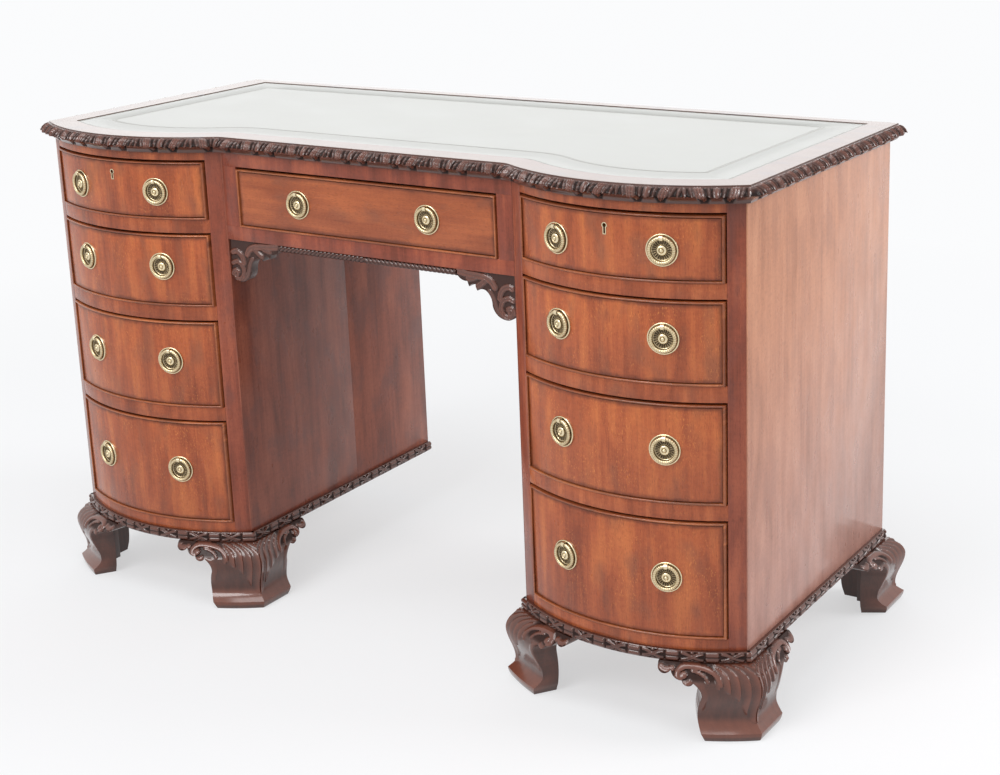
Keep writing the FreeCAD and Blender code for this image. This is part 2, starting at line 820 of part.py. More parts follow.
def drawer_lock(top):
    """Lock case let into the back of the front, and the escutcheon let into its face."""
    half = lock_width / 2
    case = box((-half, half), (lock_face_y(), lock_back_y()), (top - lock_height, top))
    slot = bolt_box(bolt_gap, (top - bolt_height - bolt_gap, top))
    case = case.cut([slot, keyhole(0, (lock_face_y(), lock_back_y()), top)])
    rim = keyhole(escutcheon_wall, escutcheon_span(), top)
    return [case, rim.cut(keyhole(0, escutcheon_span(), top))]


def lock_cuts(top):
    """What the lock takes out of the drawer front."""
    through = (front_y(0, bead_proud, True), lock_back_y())
    return [lock_pocket(top), keyhole(escutcheon_wall, escutcheon_span(), top), keyhole(0, through, top)]


# Nodes

def drawer_list():
    """Name, side, opening, half width, back, pull spread and height share, and whether bowed."""
    drawers = []
    for word, side in (("left", -1), ("right", 1)):
        for index, opening in enumerate(pedestal_openings()):
            drawers.append({"name": f"{word}_drawer_{index + 1}", "side": side, "opening": opening,
                            "half": half_opening, "back_y": drawer_back_y,
                            "spread": half_opening * handle_spread_share,
                            "share": handle_height_shares[index], "bowed": True, "locked": index == 0})
    drawers.append({"name": "centre_drawer", "side": 0, "opening": frieze_opening(),
                    "half": half_frieze_opening, "back_y": frieze_drawer_back_y,
                    "spread": half_frieze_opening * frieze_handle_spread_share,
                    "share": frieze_handle_height_share,
                    "bowed": False, "locked": False})
    return drawers


def put(drawer, solids):
    """Solids of a drawer moved from the middle of its opening to its place in the desk."""
    return group([moved(solid, Vector(drawer["side"] * pedestal_x, 0, 0)) for solid in solids])


def drawer_nodes(drawer):
    name = drawer["name"]
    bowed = drawer["bowed"]
    x_span, z_span = drawer_spans(drawer["opening"], drawer["half"])
    handles = handle_places(drawer["spread"], drawer["opening"], drawer["share"], bowed)
    lining = drawer_lining(x_span, z_span, drawer["back_y"], bowed)
    front = drawer_front(x_span, z_span, lining[-1], handles, bowed)
    nodes = {}
    if drawer["locked"]:
        front[0] = front[0].cut(lock_cuts(z_span[1]))
        nodes[f"{name}_lock"] = put(drawer, drawer_lock(z_span[1]))
        nodes[f"{name}_lock_bolt"] = put(drawer, [lock_bolt(z_span[1])])
    nodes[f"{name}_front"] = put(drawer, front)
    nodes[f"{name}_box"] = put(drawer, lining)
    nodes[f"{name}_handle_plates"] = put(drawer, handle_plates(handles, x_span, z_span, bowed))
    for word, handle in zip(("left", "right"), handles):
        nodes[f"{name}_{word}_ring"] = put(drawer, [placed_on_front(pull_ring(), handle)])
    return nodes


def desk_nodes():
    case = pedestal_case().Solids
    nodes = {"top_board": top_board(), "writing_leather": writing_leather(),
             "top_edge_moulding": top_edge_moulding(), "frieze_frame": frieze_frame(),
             "left_pedestal_case": group([on_side(solid, -1) for solid in case]),
             "right_pedestal_case": group([on_side(solid, 1) for solid in case]),
             "drawer_runners": drawer_runners(), "frieze_bead": frieze_bead(),
             "kneehole_brackets": kneehole_brackets(), "base_mouldings": base_mouldings(),
             "bracket_feet": bracket_feet()}
    for drawer in drawer_list():
        nodes.update(drawer_nodes(drawer))
    return nodes


os.makedirs("parts", exist_ok=True)
for node, shape in desk_nodes().items():
    shape.exportStep(f"parts/{node}.step")
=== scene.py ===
"""Looks of a kneehole desk: carved mahogany, cock-beaded drawers, brass ring pulls and a leather top.

Lengths are in millimetres until a mesh is made, which puts them into metres.
"""

import math

import bmesh
import bpy
import numpy as np
from mathutils import Matrix, Vector
from mathutils.geometry import delaunay_2d_cdt


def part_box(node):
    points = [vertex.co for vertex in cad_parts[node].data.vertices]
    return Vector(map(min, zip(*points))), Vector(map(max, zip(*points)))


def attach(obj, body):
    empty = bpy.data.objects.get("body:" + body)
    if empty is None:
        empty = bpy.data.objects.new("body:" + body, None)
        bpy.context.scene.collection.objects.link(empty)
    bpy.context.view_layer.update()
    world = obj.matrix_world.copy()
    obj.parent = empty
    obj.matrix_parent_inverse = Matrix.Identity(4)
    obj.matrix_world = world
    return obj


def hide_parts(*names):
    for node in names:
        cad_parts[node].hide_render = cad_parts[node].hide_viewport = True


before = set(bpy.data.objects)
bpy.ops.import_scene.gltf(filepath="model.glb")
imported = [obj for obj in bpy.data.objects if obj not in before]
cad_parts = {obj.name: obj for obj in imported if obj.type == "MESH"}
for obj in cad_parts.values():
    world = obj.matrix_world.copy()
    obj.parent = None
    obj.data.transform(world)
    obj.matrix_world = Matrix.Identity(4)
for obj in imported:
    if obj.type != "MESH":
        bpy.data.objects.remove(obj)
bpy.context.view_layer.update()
mm = 0.001
chance = np.random.default_rng(11)


def node_box(node):
    """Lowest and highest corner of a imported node, in millimetres."""
    low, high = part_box(node)
    return low / mm, high / mm


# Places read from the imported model
case_low, case_high = node_box("right_pedestal_case")
rope_low, rope_high = node_box("frieze_bead")
bracket_low, bracket_high = node_box("kneehole_brackets")
frieze_low = node_box("frieze_frame")[0]
top_high = node_box("top_board")[1]
edge_high = node_box("top_edge_moulding")[1]
feet_high = node_box("bracket_feet")[1]

pedestal_x = (case_low.x + case_high.x) / 2
half_pedestal = (case_high.x - case_low.x) / 2
half_kneehole = case_low.x
half_width = case_high.x
corner_y = frieze_low.y
bow_rise = corner_y - case_low.y
bow_radius = (half_pedestal ** 2 + bow_rise ** 2) / (2 * bow_rise)
bow_centre_y = corner_y + bow_radius - bow_rise
case_back_y = case_high.y
carcass_bottom = case_low.z
carcass_top = case_high.z
desk_height = top_high.z
foot_height = feet_high.z
frieze_bottom = frieze_low.z
bracket_width = half_kneehole - rope_high.x

# Sizes of the boards
face_depth = 24.0
side_thickness = 17.0
back_thickness = 12.0
plank_width = 205.0
side_veneer = 1.5
stile_width = 22.5
frieze_stile_width = 25.5
frieze_back_thickness = 20.0
drawer_bottom_gap = 0.3
drawer_top_gap = 3.2
board_bevel = 0.7
rail_bevel = 0.4
fine_bevel = 0.3
seam_bevel = 0.2
face_bevel = 0.05
grain_spread = 5000.0

# Drawer fronts with their beads
bead_width = 2.9
bead_proud = 2.6
bead_depth = 9.0
bead_round = 1.5
bead_quirk = 1.1
front_side_gap = 0.7
front_thickness = 22.0
bead_grain_step = 700.0

# Locks
bolt_throw = 8.0
mortise_gap = 1.0
lock_half_width = 28.0
lock_height = 34.0
lock_cover = 1.0
lock_overrun = 5.0
keyhole_drop = 19.0
keyhole_radius = 2.7
keyhole_half_slot = 1.3
keyhole_slot_drop = 11.0
escutcheon_wall = 1.2
escutcheon_depth = 4.0
cut_overrun = 3.0
cutter_bevel = 0.01

# Top, with the carving of its edge
mould_step = 0.9
top_overhang = 7.0
edge_nose = 15.0
edge_strip_depth = 14.0
edge_fillet = 2.0
edge_cove_depth = 17.0
edge_unit = 84.0
edge_leaf_height = 4.2
edge_ground_depth = 2.1
strip_lap = 2.0
strip_lap_end = 0.3
cove_radius = 35.0
top_lip_thickness = 1.0
top_lip_inset = 0.6
top_lip_round = 0.3
top_lip_gap = 0.05
leather_border = 40.0
leather_back_border = 21.0
leather_gap = 0.3
leather_thickness = 1.4
leather_sink = 1.2
leather_round = 0.5
leather_round_drop = 0.3
leather_field_insets = (60.0, 80.0)
leather_line_depth = 0.25

# Roped bead, brackets and base
rope_pitch = 7.6
rope_lean = 1.5
rope_height = 1.5
rope_sink = 1.4
rope_top_shadow_sink = 2.0
rope_middle_gap = 1e-4
bracket_step = 1.0
bracket_setback = 1.0
bracket_ground_depth = 0.9
bracket_edge_drop = 0.7
bracket_ground_ease = 1.8
bracket_edge_ease = 3.0
bracket_crest = 1.9
bracket_bud_radius = 3.6
bracket_bud_height = 2.6
stroke_step = 1.0
base_unit = 55.0
base_leaf_height = 2.8
base_ground_depth = 1.7
base_nose = 6.5
base_shoulder = 4.0
base_frame_width = 32.0

# Feet
foot_top_reach = 8.0
foot_bulge_reach = 26.6
foot_waist_reach = 15.2
toe_reach = 27.5
toe_foot_reach = 24.0
toe_ridge_height = 12.0
toe_tuck = 5.0
# Painted light on the toe's upward slope: how much it lifts the carving's shade, and the heights over which
# it comes and goes
toe_painted_light = 3.0
toe_light_rise = (4.0, 9.0)
toe_light_fall = (20.0, 34.0)
bulge_height_share = 0.72
waist_height_share = 0.275
foot_inset = 9.0
wing_length = 120.0
toe_length = 68.0
side_wing_length = 113.0
side_toe_length = 58.0
glue_block_width = 20.0
glue_block_lift = 4.0
wing_step = 1.2
wing_edge_ease = 1.5

# Ring pulls
plate_radius = 21.7
plate_thickness = 1.5
plate_seat = 1.5
rim_width = 2.4
rim_height = 2.6
axis_radius = 0.4
boss_radius = 6.9
boss_margin = 0.2
dish_radius = 13.5
dish_height = 0.8
dish_lift = 0.4
dish_margin = 0.6
dish_flutes = 22
dish_flute_depth = 0.8
dish_flute_start = 1.2
dish_flute_end = (2.0, 0.4)
ring_radius = 16.4
ring_wire_radius = 2.6
ring_reach = 4.7
ring_ropes = 36
ring_rope_lean = 1.2
ring_rope_sink = 0.14
ring_rope_height = 0.12
lug_width = 5.3
lug_chamfer = 0.4
neck_inset = 0.6
lug_bore_radius = 3.1
lug_eye_radius = 4.0
stem_radius = 2.4
stem_tail = 1.0
stem_chamfer = 0.5
nut_radius = 5.5
nut_thickness = 4.0
nut_gap = 0.1
nut_bevel = 0.4

# Angles past which an edge or a path has a corner, and the gap at which points are one
smooth_angle = math.radians(40)
smooth_cosine = 0.98
weld_gap = 1e-5
edge_gap = 1e-3


# Building blocks for meshes

def tube_faces(rows, columns, looped=False):
    """Faces of rings of points kept row by row: either joined into a loop, or capped at both ends."""
    row = np.arange(rows if looped else rows - 1)[:, None]
    column = np.arange(columns)[None, :]
    after, beside = (row + 1) % rows * columns, (column + 1) % columns
    row = row * columns
    quads = [row + column, row + beside, after + beside, after + column]
    faces = np.stack(quads, axis=2).reshape(-1, 4).tolist()
    if not looped:
        faces += [list(range(columns)), list(range((rows - 1) * columns, rows * columns))]
    return faces


def wall_faces(count, other):
    """Quads between a loop of points and an equal one that is listed later, from the index other on."""
    following = [(index + 1) % count for index in range(count)]
    return [[index, after, other + after, other + index] for index, after in enumerate(following)]


def plank_shift():
    """Chance place of a plank in the wood it is sawn from."""
    return chance.uniform(0, grain_spread, 3)


def merged(parts):
    """One set of points, faces and fields from several."""
    points, faces, fields = [], [], {}
    count = 0
    for part_points, part_faces, part_fields in parts:
        points.append(part_points)
        faces += [[index + count for index in face] for face in part_faces]
        for key, values in part_fields.items():
            fields.setdefault(key, []).append(values)
        count += len(part_points)
    return np.vstack(points), faces, {key: np.concatenate(values) for key, values in fields.items()}


def make_mesh(name, part):
    """Mesh in metres with outward faces, smooth shading and its fields as attributes."""
    points, faces, fields = part
    mesh = bpy.data.meshes.new(name)
    mesh.from_pydata((np.asarray(points) * mm).tolist(), [], faces)
    work = bmesh.new()
    work.from_mesh(mesh)
    bmesh.ops.recalc_face_normals(work, faces=work.faces)
    work.to_mesh(mesh)
    work.free()
    mesh.shade_smooth()
    mesh.set_sharp_from_angle(angle=smooth_angle)
    for key, values in fields.items():
        flat = values.ndim == 1
        attribute = mesh.attributes.new(key, "FLOAT" if flat else "FLOAT_VECTOR", "POINT")
        attribute.data.foreach_set("value" if flat else "vector", np.asarray(values, float).ravel())
    return mesh


def put_object(name, content):
    """Object in the scene for a mesh, a light or a camera."""
    made = bpy.data.objects.new(name, content)
    bpy.context.scene.collection.objects.link(made)
    return made


def put_piece(name, mesh, body, nodes, material, place=None):
    """Object for a mesh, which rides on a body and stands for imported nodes."""
    piece = put_object(name, mesh)
    if place is not None:
        piece.matrix_world = place
    if not mesh.materials:
        mesh.materials.append(material)
    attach(piece, body)
    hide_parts(*nodes)


def read_work(work):
    """Points and faces of a working mesh."""
    work.verts.index_update()
    points = np.array([vert.co[:] for vert in work.verts])
    faces = [[vert.index for vert in face.verts] for face in work.faces]
    work.free()
    return points, faces


def prism(outline, low, high, bevel=board_bevel):
    """Points and faces of an upright board over a plan outline, with its edges eased."""
    work = bmesh.new()
    lower = [work.verts.new((x, y, low)) for x, y in outline]
    upper = [work.verts.new((x, y, high)) for x, y in outline]
    work.faces.new(lower)
    work.faces.new(upper)
    for index in range(len(outline)):
        work.faces.new((lower[index - 1], lower[index], upper[index], upper[index - 1]))
    bmesh.ops.recalc_face_normals(work, faces=work.faces)
    edges = [edge for edge in work.edges if edge.calc_face_angle(0) > smooth_angle]
    bmesh.ops.bevel(work, geom=edges, offset=bevel, segments=2, profile=0.5, affect="EDGES")
    return read_work(work)


def rectangle(x_span, y_span):
    (left, right), (front, back) = x_span, y_span
    return [(left, front), (right, front), (right, back), (left, back)]


def block(x_span, y_span, z_span, bevel=board_bevel):
    return prism(rectangle(x_span, y_span), *z_span, bevel)


def grained(solid, across, through, along):
    """A board with the place of every point in its own plank: across, through and along the grain."""
    points, faces = solid
    order = ["xyz".index(axis) for axis in (across, through, along)]
    return points, faces, {"grain": points[:, order] + plank_shift()}


def uncarved(board):
    """A plain board among carving."""
    points, faces, fields = board
    return points, faces, {**fields, "relief": np.zeros(len(points))}


def sided(part, side):
    """A part made about a pedestal's own middle, put on the right (1) or the left (-1)."""
    points, faces, fields = part
    placed = points + np.array([pedestal_x, 0, 0])
    return placed * np.array([side, 1, 1]), faces, fields


def bow_y(x, outset=0.0):
    """Y of a pedestal's bowed face at x, moved outwards by outset."""
    return bow_centre_y - np.sqrt((bow_radius + outset) ** 2 - np.asarray(x, float) ** 2)


def slab_outline(x_span, outset, back_y, count=40):
    """Plan of a board whose front follows the bow and whose back is straight."""
    xs = np.linspace(x_span[0], x_span[1], count)
    front = np.stack([xs, bow_y(xs, outset)], axis=1)
    return np.vstack([front, [(x_span[1], back_y), (x_span[0], back_y)]])


def curved_outline(x_span, outset, inset, bowed, count=48):
    """Plan of a board whose front and back both follow the drawer face."""
    xs = np.linspace(x_span[0], x_span[1], count)
    front, back = [bow_y(xs, out) if bowed else np.full(count, corner_y - out) for out in (outset, -inset)]
    return np.vstack([np.stack([xs, front], axis=1), np.stack([xs, back], axis=1)[::-1]])


# Paths in plan, with the outside on the right of the way they go

def along_line(start, end, count=None):
    start, end = np.array(start, float), np.array(end, float)
    length = np.linalg.norm(end - start)
    count = count or round(length / mould_step) + 1
    shares = np.linspace(0, 1, count)[:, None]
    way = (end - start) / length
    return start + (end - start) * shares, np.tile((way[1], -way[0]), (len(shares), 1))


def along_arc(centre, radius, start, end, hollow=False, count=None):
    count = count or round(radius * abs(end - start) / mould_step) + 1
    angles = np.linspace(start, end, count)
    ways = np.stack([np.cos(angles), np.sin(angles)], axis=1)
    return np.array(centre) + radius * ways, -ways if hollow else ways


def joined(runs):
    """Path through several runs. Where two meet at an angle, the way out there is the mitre's."""
    points, outs, corners = [runs[0][0][0]], [runs[0][1][0]], [0]
    for index, (run_points, run_outs) in enumerate(runs):
        if index:
            cosine = outs[-1] @ run_outs[0]
            outs[-1] = (outs[-1] + run_outs[0]) / (1 + cosine)
            if cosine < smooth_cosine:
                corners.append(len(points) - 1)
        points += list(run_points[1:])
        outs += list(run_outs[1:])
    corners.append(len(points) - 1)
    points = np.array(points)
    return {"points": points, "outs": np.array(outs), "along": lengths_along(points), "corners": corners}


def carving_units(path, pitch):
    """Place along a path in units of carving, with whole units between its corners."""
    along, corners = path["along"], path["corners"]
    units = np.zeros_like(along)
    done = 0
    for start, end in zip(corners, corners[1:]):
        length = along[end] - along[start]
        count = max(1, round(length / pitch))
        run = slice(start, end + 1)
        units[run] = done + (along[run] - along[start]) / length * count
        done += count
    return units


def lengths_along(points):
    """Length of a line from its first point to each of its points."""
    return np.concatenate([[0], np.cumsum(np.linalg.norm(np.diff(points, axis=0), axis=1))])


def section_normals(section):
    """Outward normals of an open section that is listed from its top down the outside."""
    ways = np.gradient(section, axis=0)
    ways /= np.linalg.norm(ways, axis=1)[:, None]
    return np.stack([-ways[:, 1], ways[:, 0]], axis=1)


def swept(path, carved, back, relief):
    """Closed strip: a carved section with a plain back, carried along a path."""
    normals = section_normals(carved)
    rows, columns = len(path["points"]), len(carved) + len(back)
    outs = np.zeros((rows, columns))
    highs = np.zeros((rows, columns))
    outs[:, :len(carved)] = carved[:, 0] + relief * normals[:, 0]
    highs[:, :len(carved)] = carved[:, 1] + relief * normals[:, 1]
    outs[:, len(carved):] = back[:, 0]
    highs[:, len(carved):] = back[:, 1]
    plan = path["points"][:, None, :] + path["outs"][:, None, :] * outs[:, :, None]
    points = np.concatenate([plan, highs[:, :, None]], axis=2).reshape(-1, 3)
    depth = np.zeros((rows, columns))
    depth[:, :len(carved)] = relief
    grain = np.stack([outs, highs, np.repeat(path["along"][:, None], columns, axis=1)], axis=2)
    grain = grain.reshape(-1, 3) + plank_shift()
    return points, tube_faces(rows, columns), {"relief": depth.ravel(), "grain": grain}


def ease(value, low, high):
    """Smooth step from 0 at low to 1 at high."""
    share = np.clip((value - low) / (high - low), 0, 1)
    return share * share * (3 - 2 * share)


def between(value, rise, fall):
    """Smooth steps from 0 to 1 over one span and back to 0 over another."""
    return ease(value, *rise) * (1 - ease(value, *fall))


def ridge(distance, half_width):
    """Round ridge, 1 at its crest and 0 from half_width on."""
    return np.sqrt(np.clip(1 - (distance / half_width) ** 2, 0, 1))


def polyline(points, step):
    """Points at even steps along straight runs between the given ones."""
    found = []
    for start, end in zip(points, points[1:]):
        start, end = np.array(start, float), np.array(end, float)
        count = max(1, round(np.linalg.norm(end - start) / step))
        found += [start + (end - start) * index / count for index in range(count)]
    return np.array(found + [np.array(points[-1], float)])


def smooth_line(places, rounds=3, cut_share=0.25):
    """A line through places with its corners cut several times."""
    points = np.array(places, float)
    kept_share = 1 - cut_share
    for _ in range(rounds):
        near, far = points[:-1], points[1:]
        cut = np.stack([kept_share * near + cut_share * far, cut_share * near + kept_share * far], axis=1)
        points = np.vstack([points[:1], cut.reshape(-1, 2), points[-1:]])
    return polyline(points, stroke_step)


def arc_through(start, middle, end, count):
    """Points on the circle through three points of a plane."""
    a, b, c = [np.array(point, float) for point in (start, middle, end)]
    ab, ac = b - a, c - a
    cross = 2 * (ab[0] * ac[1] - ab[1] * ac[0])
    ab_square, ac_square = ab @ ab, ac @ ac
    offset = np.array([ac[1] * ab_square - ab[1] * ac_square, ab[0] * ac_square - ac[0] * ab_square]) / cross
    centre = a + offset
    radius = np.linalg.norm(offset)
    first, mid, last = [math.atan2(*(point - centre)[::-1]) for point in (a, b, c)]
    turn = 2 * math.pi
    way = 1 if (mid - first) % turn < (last - first) % turn else -1
    sweep = ((last - first) * way % turn) * way
    angles = first + sweep * np.linspace(0, 1, count)
    return centre + radius * np.stack([np.cos(angles), np.sin(angles)], axis=1)


def arc_chain(start, pairs, count):
    """Points of arcs that follow each other, each through a middle to an end, without the last end."""
    points = []
    for middle, end in pairs:
        points.append(arc_through(start, middle, end, count)[:-1])
        start = end
    return np.vstack(points)


# The top

def front_half(offset):
    """Right half of the top's front edge, from the middle to the right corner, moved outwards."""
    radius = bow_radius + top_overhang + offset
    cove = cove_radius - offset
    line_y = corner_y - top_overhang - offset
    rise = bow_centre_y - (line_y - cove)
    cove_x = pedestal_x - math.sqrt((radius + cove) ** 2 - rise ** 2)
    turn = math.atan2(rise, pedestal_x - cove_x)
    corner_x = half_width + top_overhang + offset
    corner_turn = -math.acos((corner_x - pedestal_x) / radius)
    return {"radius": radius, "cove": cove, "cove_centre": (cove_x, line_y - cove), "line_y": line_y,
            "turn": turn, "corner_turn": corner_turn, "corner_x": corner_x}


def front_runs(offset, counts=(None, None, None)):
    """Runs of the whole front edge from left to right: bow, cove, straight, cove, bow."""
    bow_count, cove_count, line_count = counts
    half = front_half(offset)
    cove_x, cove_y = half["cove_centre"]
    flip = math.pi
    left_bow = along_arc((-pedestal_x, bow_centre_y), half["radius"], -flip - half["corner_turn"],
                         -half["turn"], count=bow_count)
    left_cove = along_arc((-cove_x, cove_y), half["cove"], flip - half["turn"], flip / 2, True, cove_count)
    line = along_line((-cove_x, half["line_y"]), (cove_x, half["line_y"]), line_count)
    right_cove = along_arc((cove_x, cove_y), half["cove"], flip / 2, half["turn"], True, cove_count)
    right_bow = along_arc((pedestal_x, bow_centre_y), half["radius"], half["turn"] - flip,
                          half["corner_turn"], count=bow_count)
    return [left_bow, left_cove, line, right_cove, right_bow]


def edge_path():
    """Way of the top's edge moulding: left side, front and right side."""
    half = front_half(0)
    corner_y_here = bow_centre_y + half["radius"] * math.sin(half["corner_turn"])
    x = half["corner_x"]
    left = along_line((-x, edge_high.y), (-x, corner_y_here))
    right = along_line((x, corner_y_here), (x, edge_high.y))
    return joined([left] + front_runs(0) + [right])


# Leaflets of half a unit of the top's edge, as shares of the unit, the section and the leaves' height:
# place at the top, lean towards the middle, half width, end, height and number of flutes
leaflet_shares = ((0.0, 0.0, 0.060, 0.70, 0.9, 1), (0.125, 0.06, 0.032, 0.74, 0.5, 1),
                  (0.290, 0.125, 0.086, 0.92, 1.0, 2), (0.400, 0.130, 0.036, 0.64, 0.55, 1),
                  (0.480, 0.07, 0.036, 0.52, 0.65, 1))
leaf_blunt_share = 1.02
leaf_least_share = 0.0001
leaf_tip_share = 0.05
leaf_flute_share = 0.20
leaf_start_shares = (0.03, 0.10)
hem_shares = ((0.0, 0.66), (0.07, 0.66), (0.13, 0.96), (0.23, 0.96), (0.30, 0.66), (0.38, 0.52), (0.50, 0.44))
hem_ease_shares = (-0.04, 0.08)
edge_nose_height_share = 0.52


def edge_carving(units, drop):
    """Leaves of the top's edge: two fluted tongues beside a palmette, and short leaflets between units."""
    away = np.abs(units % 1 - 0.5)
    raised = np.zeros(np.broadcast(units, drop).shape)
    for place, lean, half, end, height, flutes in leaflet_shares:
        aside = away - place + lean * drop
        width = half * np.sqrt(np.clip(leaf_blunt_share - (drop / end) ** 3, leaf_least_share, 1))
        dome = ridge(aside, width) * (1 - ease(drop, end - leaf_tip_share, end))
        flute = (1 - leaf_flute_share) + leaf_flute_share * np.cos(2 * np.pi * flutes * aside / half)
        raised = np.maximum(raised, height * dome * flute)
    hem = np.interp(away, *zip(*hem_shares))
    ground = 1 - ease(drop, hem + hem_ease_shares[0], hem + hem_ease_shares[1])
    return (edge_leaf_height * raised - edge_ground_depth * ground) * ease(drop, *leaf_start_shares)


def top_edge():
    nose_z = desk_height - (desk_height - carcass_top) * edge_nose_height_share
    fillet = (0, desk_height - edge_fillet)
    nose = (edge_nose, nose_z)
    foot = (edge_nose - edge_cove_depth, carcass_top)
    ovolo_middle = ((fillet[0] + nose[0]) / 2 + edge_fillet, (fillet[1] + nose[1]) / 2 + edge_fillet)
    cove_middle = ((nose[0] + foot[0]) / 2 - edge_fillet, (nose[1] + foot[1]) / 2 + edge_fillet)
    ovolo = arc_through(fillet, ovolo_middle, nose, 18)
    cove = arc_through(nose, cove_middle, foot, 12)
    strip_top = desk_height - top_lip_thickness - top_lip_gap
    carved = np.vstack([[(-strip_lap, strip_top), (-strip_lap_end, strip_top)], ovolo, cove[1:]])
    back = np.array([(-edge_strip_depth, carcass_top), (-edge_strip_depth, strip_top)])
    path = edge_path()
    drop = lengths_along(carved)
    drop = (drop - drop[2]) / (drop[-1] - drop[2])
    relief = edge_carving(carving_units(path, edge_unit)[:, None], np.clip(drop, 0, 1)[None, :])
    relief[:, :3] = 0
    return swept(path, carved, back, relief)


ring_counts = (60, 16, 40)
side_count = 24


def top_ring(inset, back_inset, z):
    """Closed ring of points round the top, inset from its front and sides and from its back."""
    front = joined(front_runs(-inset, ring_counts))["points"]
    x, end_y = front[-1]
    back_y = top_high.y - back_inset
    right = along_line((x, end_y), (x, back_y), side_count)[0][1:]
    back = along_line((x, back_y), (-x, back_y), side_count)[0][1:]
    left = along_line((-x, back_y), (-x, end_y), side_count)[0][1:-1]
    plan = np.vstack([front, right, back, left])
    return np.column_stack([plan, np.full(len(plan), z)])


def stacked(rings):
    """Closed form of rings with equal counts, with its first and last ring capped."""
    return np.vstack(rings), tube_faces(len(rings), len(rings[0]))


def top_board():
    """Board with a border whose lip covers the edge strip, and a sunk panel for the leather."""
    ease_in = top_lip_round
    floor_z = desk_height - leather_thickness - leather_sink
    lip_z = desk_height - top_lip_thickness
    round_z = desk_height - ease_in
    places = [(edge_strip_depth, 0.0, carcass_top), (edge_strip_depth, 0.0, lip_z),
              (top_lip_inset, 0.0, lip_z), (top_lip_inset, 0.0, round_z),
              (top_lip_inset + ease_in, ease_in, desk_height),
              (leather_border - ease_in, leather_back_border - ease_in, desk_height),
              (leather_border, leather_back_border, round_z), (leather_border, leather_back_border, floor_z)]
    return grained(stacked([top_ring(*place) for place in places]), "y", "z", "x")


# Tooled lines of the leather: distance in from its edge, and width
leather_lines = ((4.0, 1.0), (48.0, 1.6), (52.0, 0.9))


def leather_profile():
    """Inset and height of the leather from its lower edge to the middle, through the tooled lines."""
    steps = [(0.0, -leather_thickness), (0.0, -leather_round_drop), (leather_round, 0.0)]
    for inset, width in leather_lines:
        half = width / 2
        steps += [(inset - half, 0.0), (inset - half / 2, -leather_line_depth),
                  (inset + half / 2, -leather_line_depth), (inset + half, 0.0)]
    return steps + [(inset, 0.0) for inset in leather_field_insets]


def writing_leather():
    rings, insets = [], []
    for inset, height in leather_profile():
        in_from_edge = leather_gap + inset
        ring = top_ring(leather_border + in_from_edge, leather_back_border + in_from_edge,
                        desk_height - leather_sink + height)
        rings.append(ring)
        insets.append(np.full(len(ring), inset))
    return *stacked(rings), {"inset": np.concatenate(insets)}


# Pedestals and frieze

drawer_numbers = (1, 2, 3, 4)


def pedestal_openings():
    """Heights (low, high) of a pedestal's drawer fronts, from the top down."""
    spans = []
    for index in drawer_numbers:
        low, high = node_box(f"right_drawer_{index}_front")
        spans.append((low.z, high.z))
    return spans


def rail_spans():
    """Heights (low, high) of a pedestal's rails, from the top down."""
    drawers = pedestal_openings()
    highs = [carcass_top] + [low for low, high in drawers]
    lows = [high for low, high in drawers] + [carcass_bottom]
    return list(zip(lows, highs))


face_back_y = corner_y + face_depth
half_opening = half_pedestal - stile_width
inner_x = half_pedestal - side_thickness
panel_front_y = case_back_y - back_thickness


def bolt_mortise():
    """Room for the thrown bolt of the top drawer's lock."""
    low, high = node_box("right_drawer_1_lock_bolt")
    return block((low.x - pedestal_x - mortise_gap, high.x - pedestal_x + mortise_gap),
                 (low.y - mortise_gap, high.y + mortise_gap),
                 (low.z, high.z + bolt_throw + mortise_gap), cutter_bevel)


def case_rails():
    rails = []
    outline = slab_outline((-half_opening, half_opening), 0, face_back_y)
    for low, high in rail_spans():
        top_rail, bottom_rail = high == carcass_top, low == carcass_bottom
        low += 0 if bottom_rail else drawer_top_gap
        high -= 0 if top_rail else drawer_bottom_gap
        rail = prism(outline, low, high, rail_bevel)
        if top_rail:
            rail = cut_by(rail, [bolt_mortise()])
        rails.append(grained(rail, "x", "y", "z"))
    return rails


def case_stiles():
    stiles = []
    outline = slab_outline((half_opening, half_pedestal - side_veneer), 0, face_back_y, 6)
    for way in (1, -1):
        stile = prism(outline * np.array([way, 1]), carcass_bottom, carcass_top)
        stiles.append(grained(stile, "x", "y", "z"))
    return stiles


def side_board(back_y, way):
    """Side of a pedestal to a given depth, with a tongue that covers the stile's edge."""
    tongue_x = half_pedestal - side_veneer
    outline = [(inner_x, face_back_y), (tongue_x, face_back_y), (tongue_x, float(bow_y(tongue_x))),
               (half_pedestal, corner_y), (half_pedestal, back_y), (inner_x, back_y)]
    return prism(np.array(outline) * np.array([way, 1]), carcass_bottom, carcass_top, seam_bevel)


def case_outer_side():
    return [grained(side_board(case_back_y, 1), "y", "x", "z")]


def case_inner_side():
    """Two planks with a seam."""
    seam_y = case_back_y - plank_width
    rear = block((-half_pedestal, -inner_x), (seam_y, case_back_y), (carcass_bottom, carcass_top), fine_bevel)
    return [grained(solid, "y", "x", "z") for solid in (side_board(seam_y, -1), rear)]


def case_inside():
    """Back panel and bottom board."""
    back = block((-inner_x, inner_x), (panel_front_y, case_back_y), (carcass_bottom, carcass_top))
    bottom_top = rail_spans()[-1][1] - drawer_bottom_gap
    bottom = block((-inner_x, inner_x), (face_back_y, panel_front_y), (carcass_bottom, bottom_top))
    return [grained(back, "x", "y", "z"), grained(bottom, "y", "z", "x")]


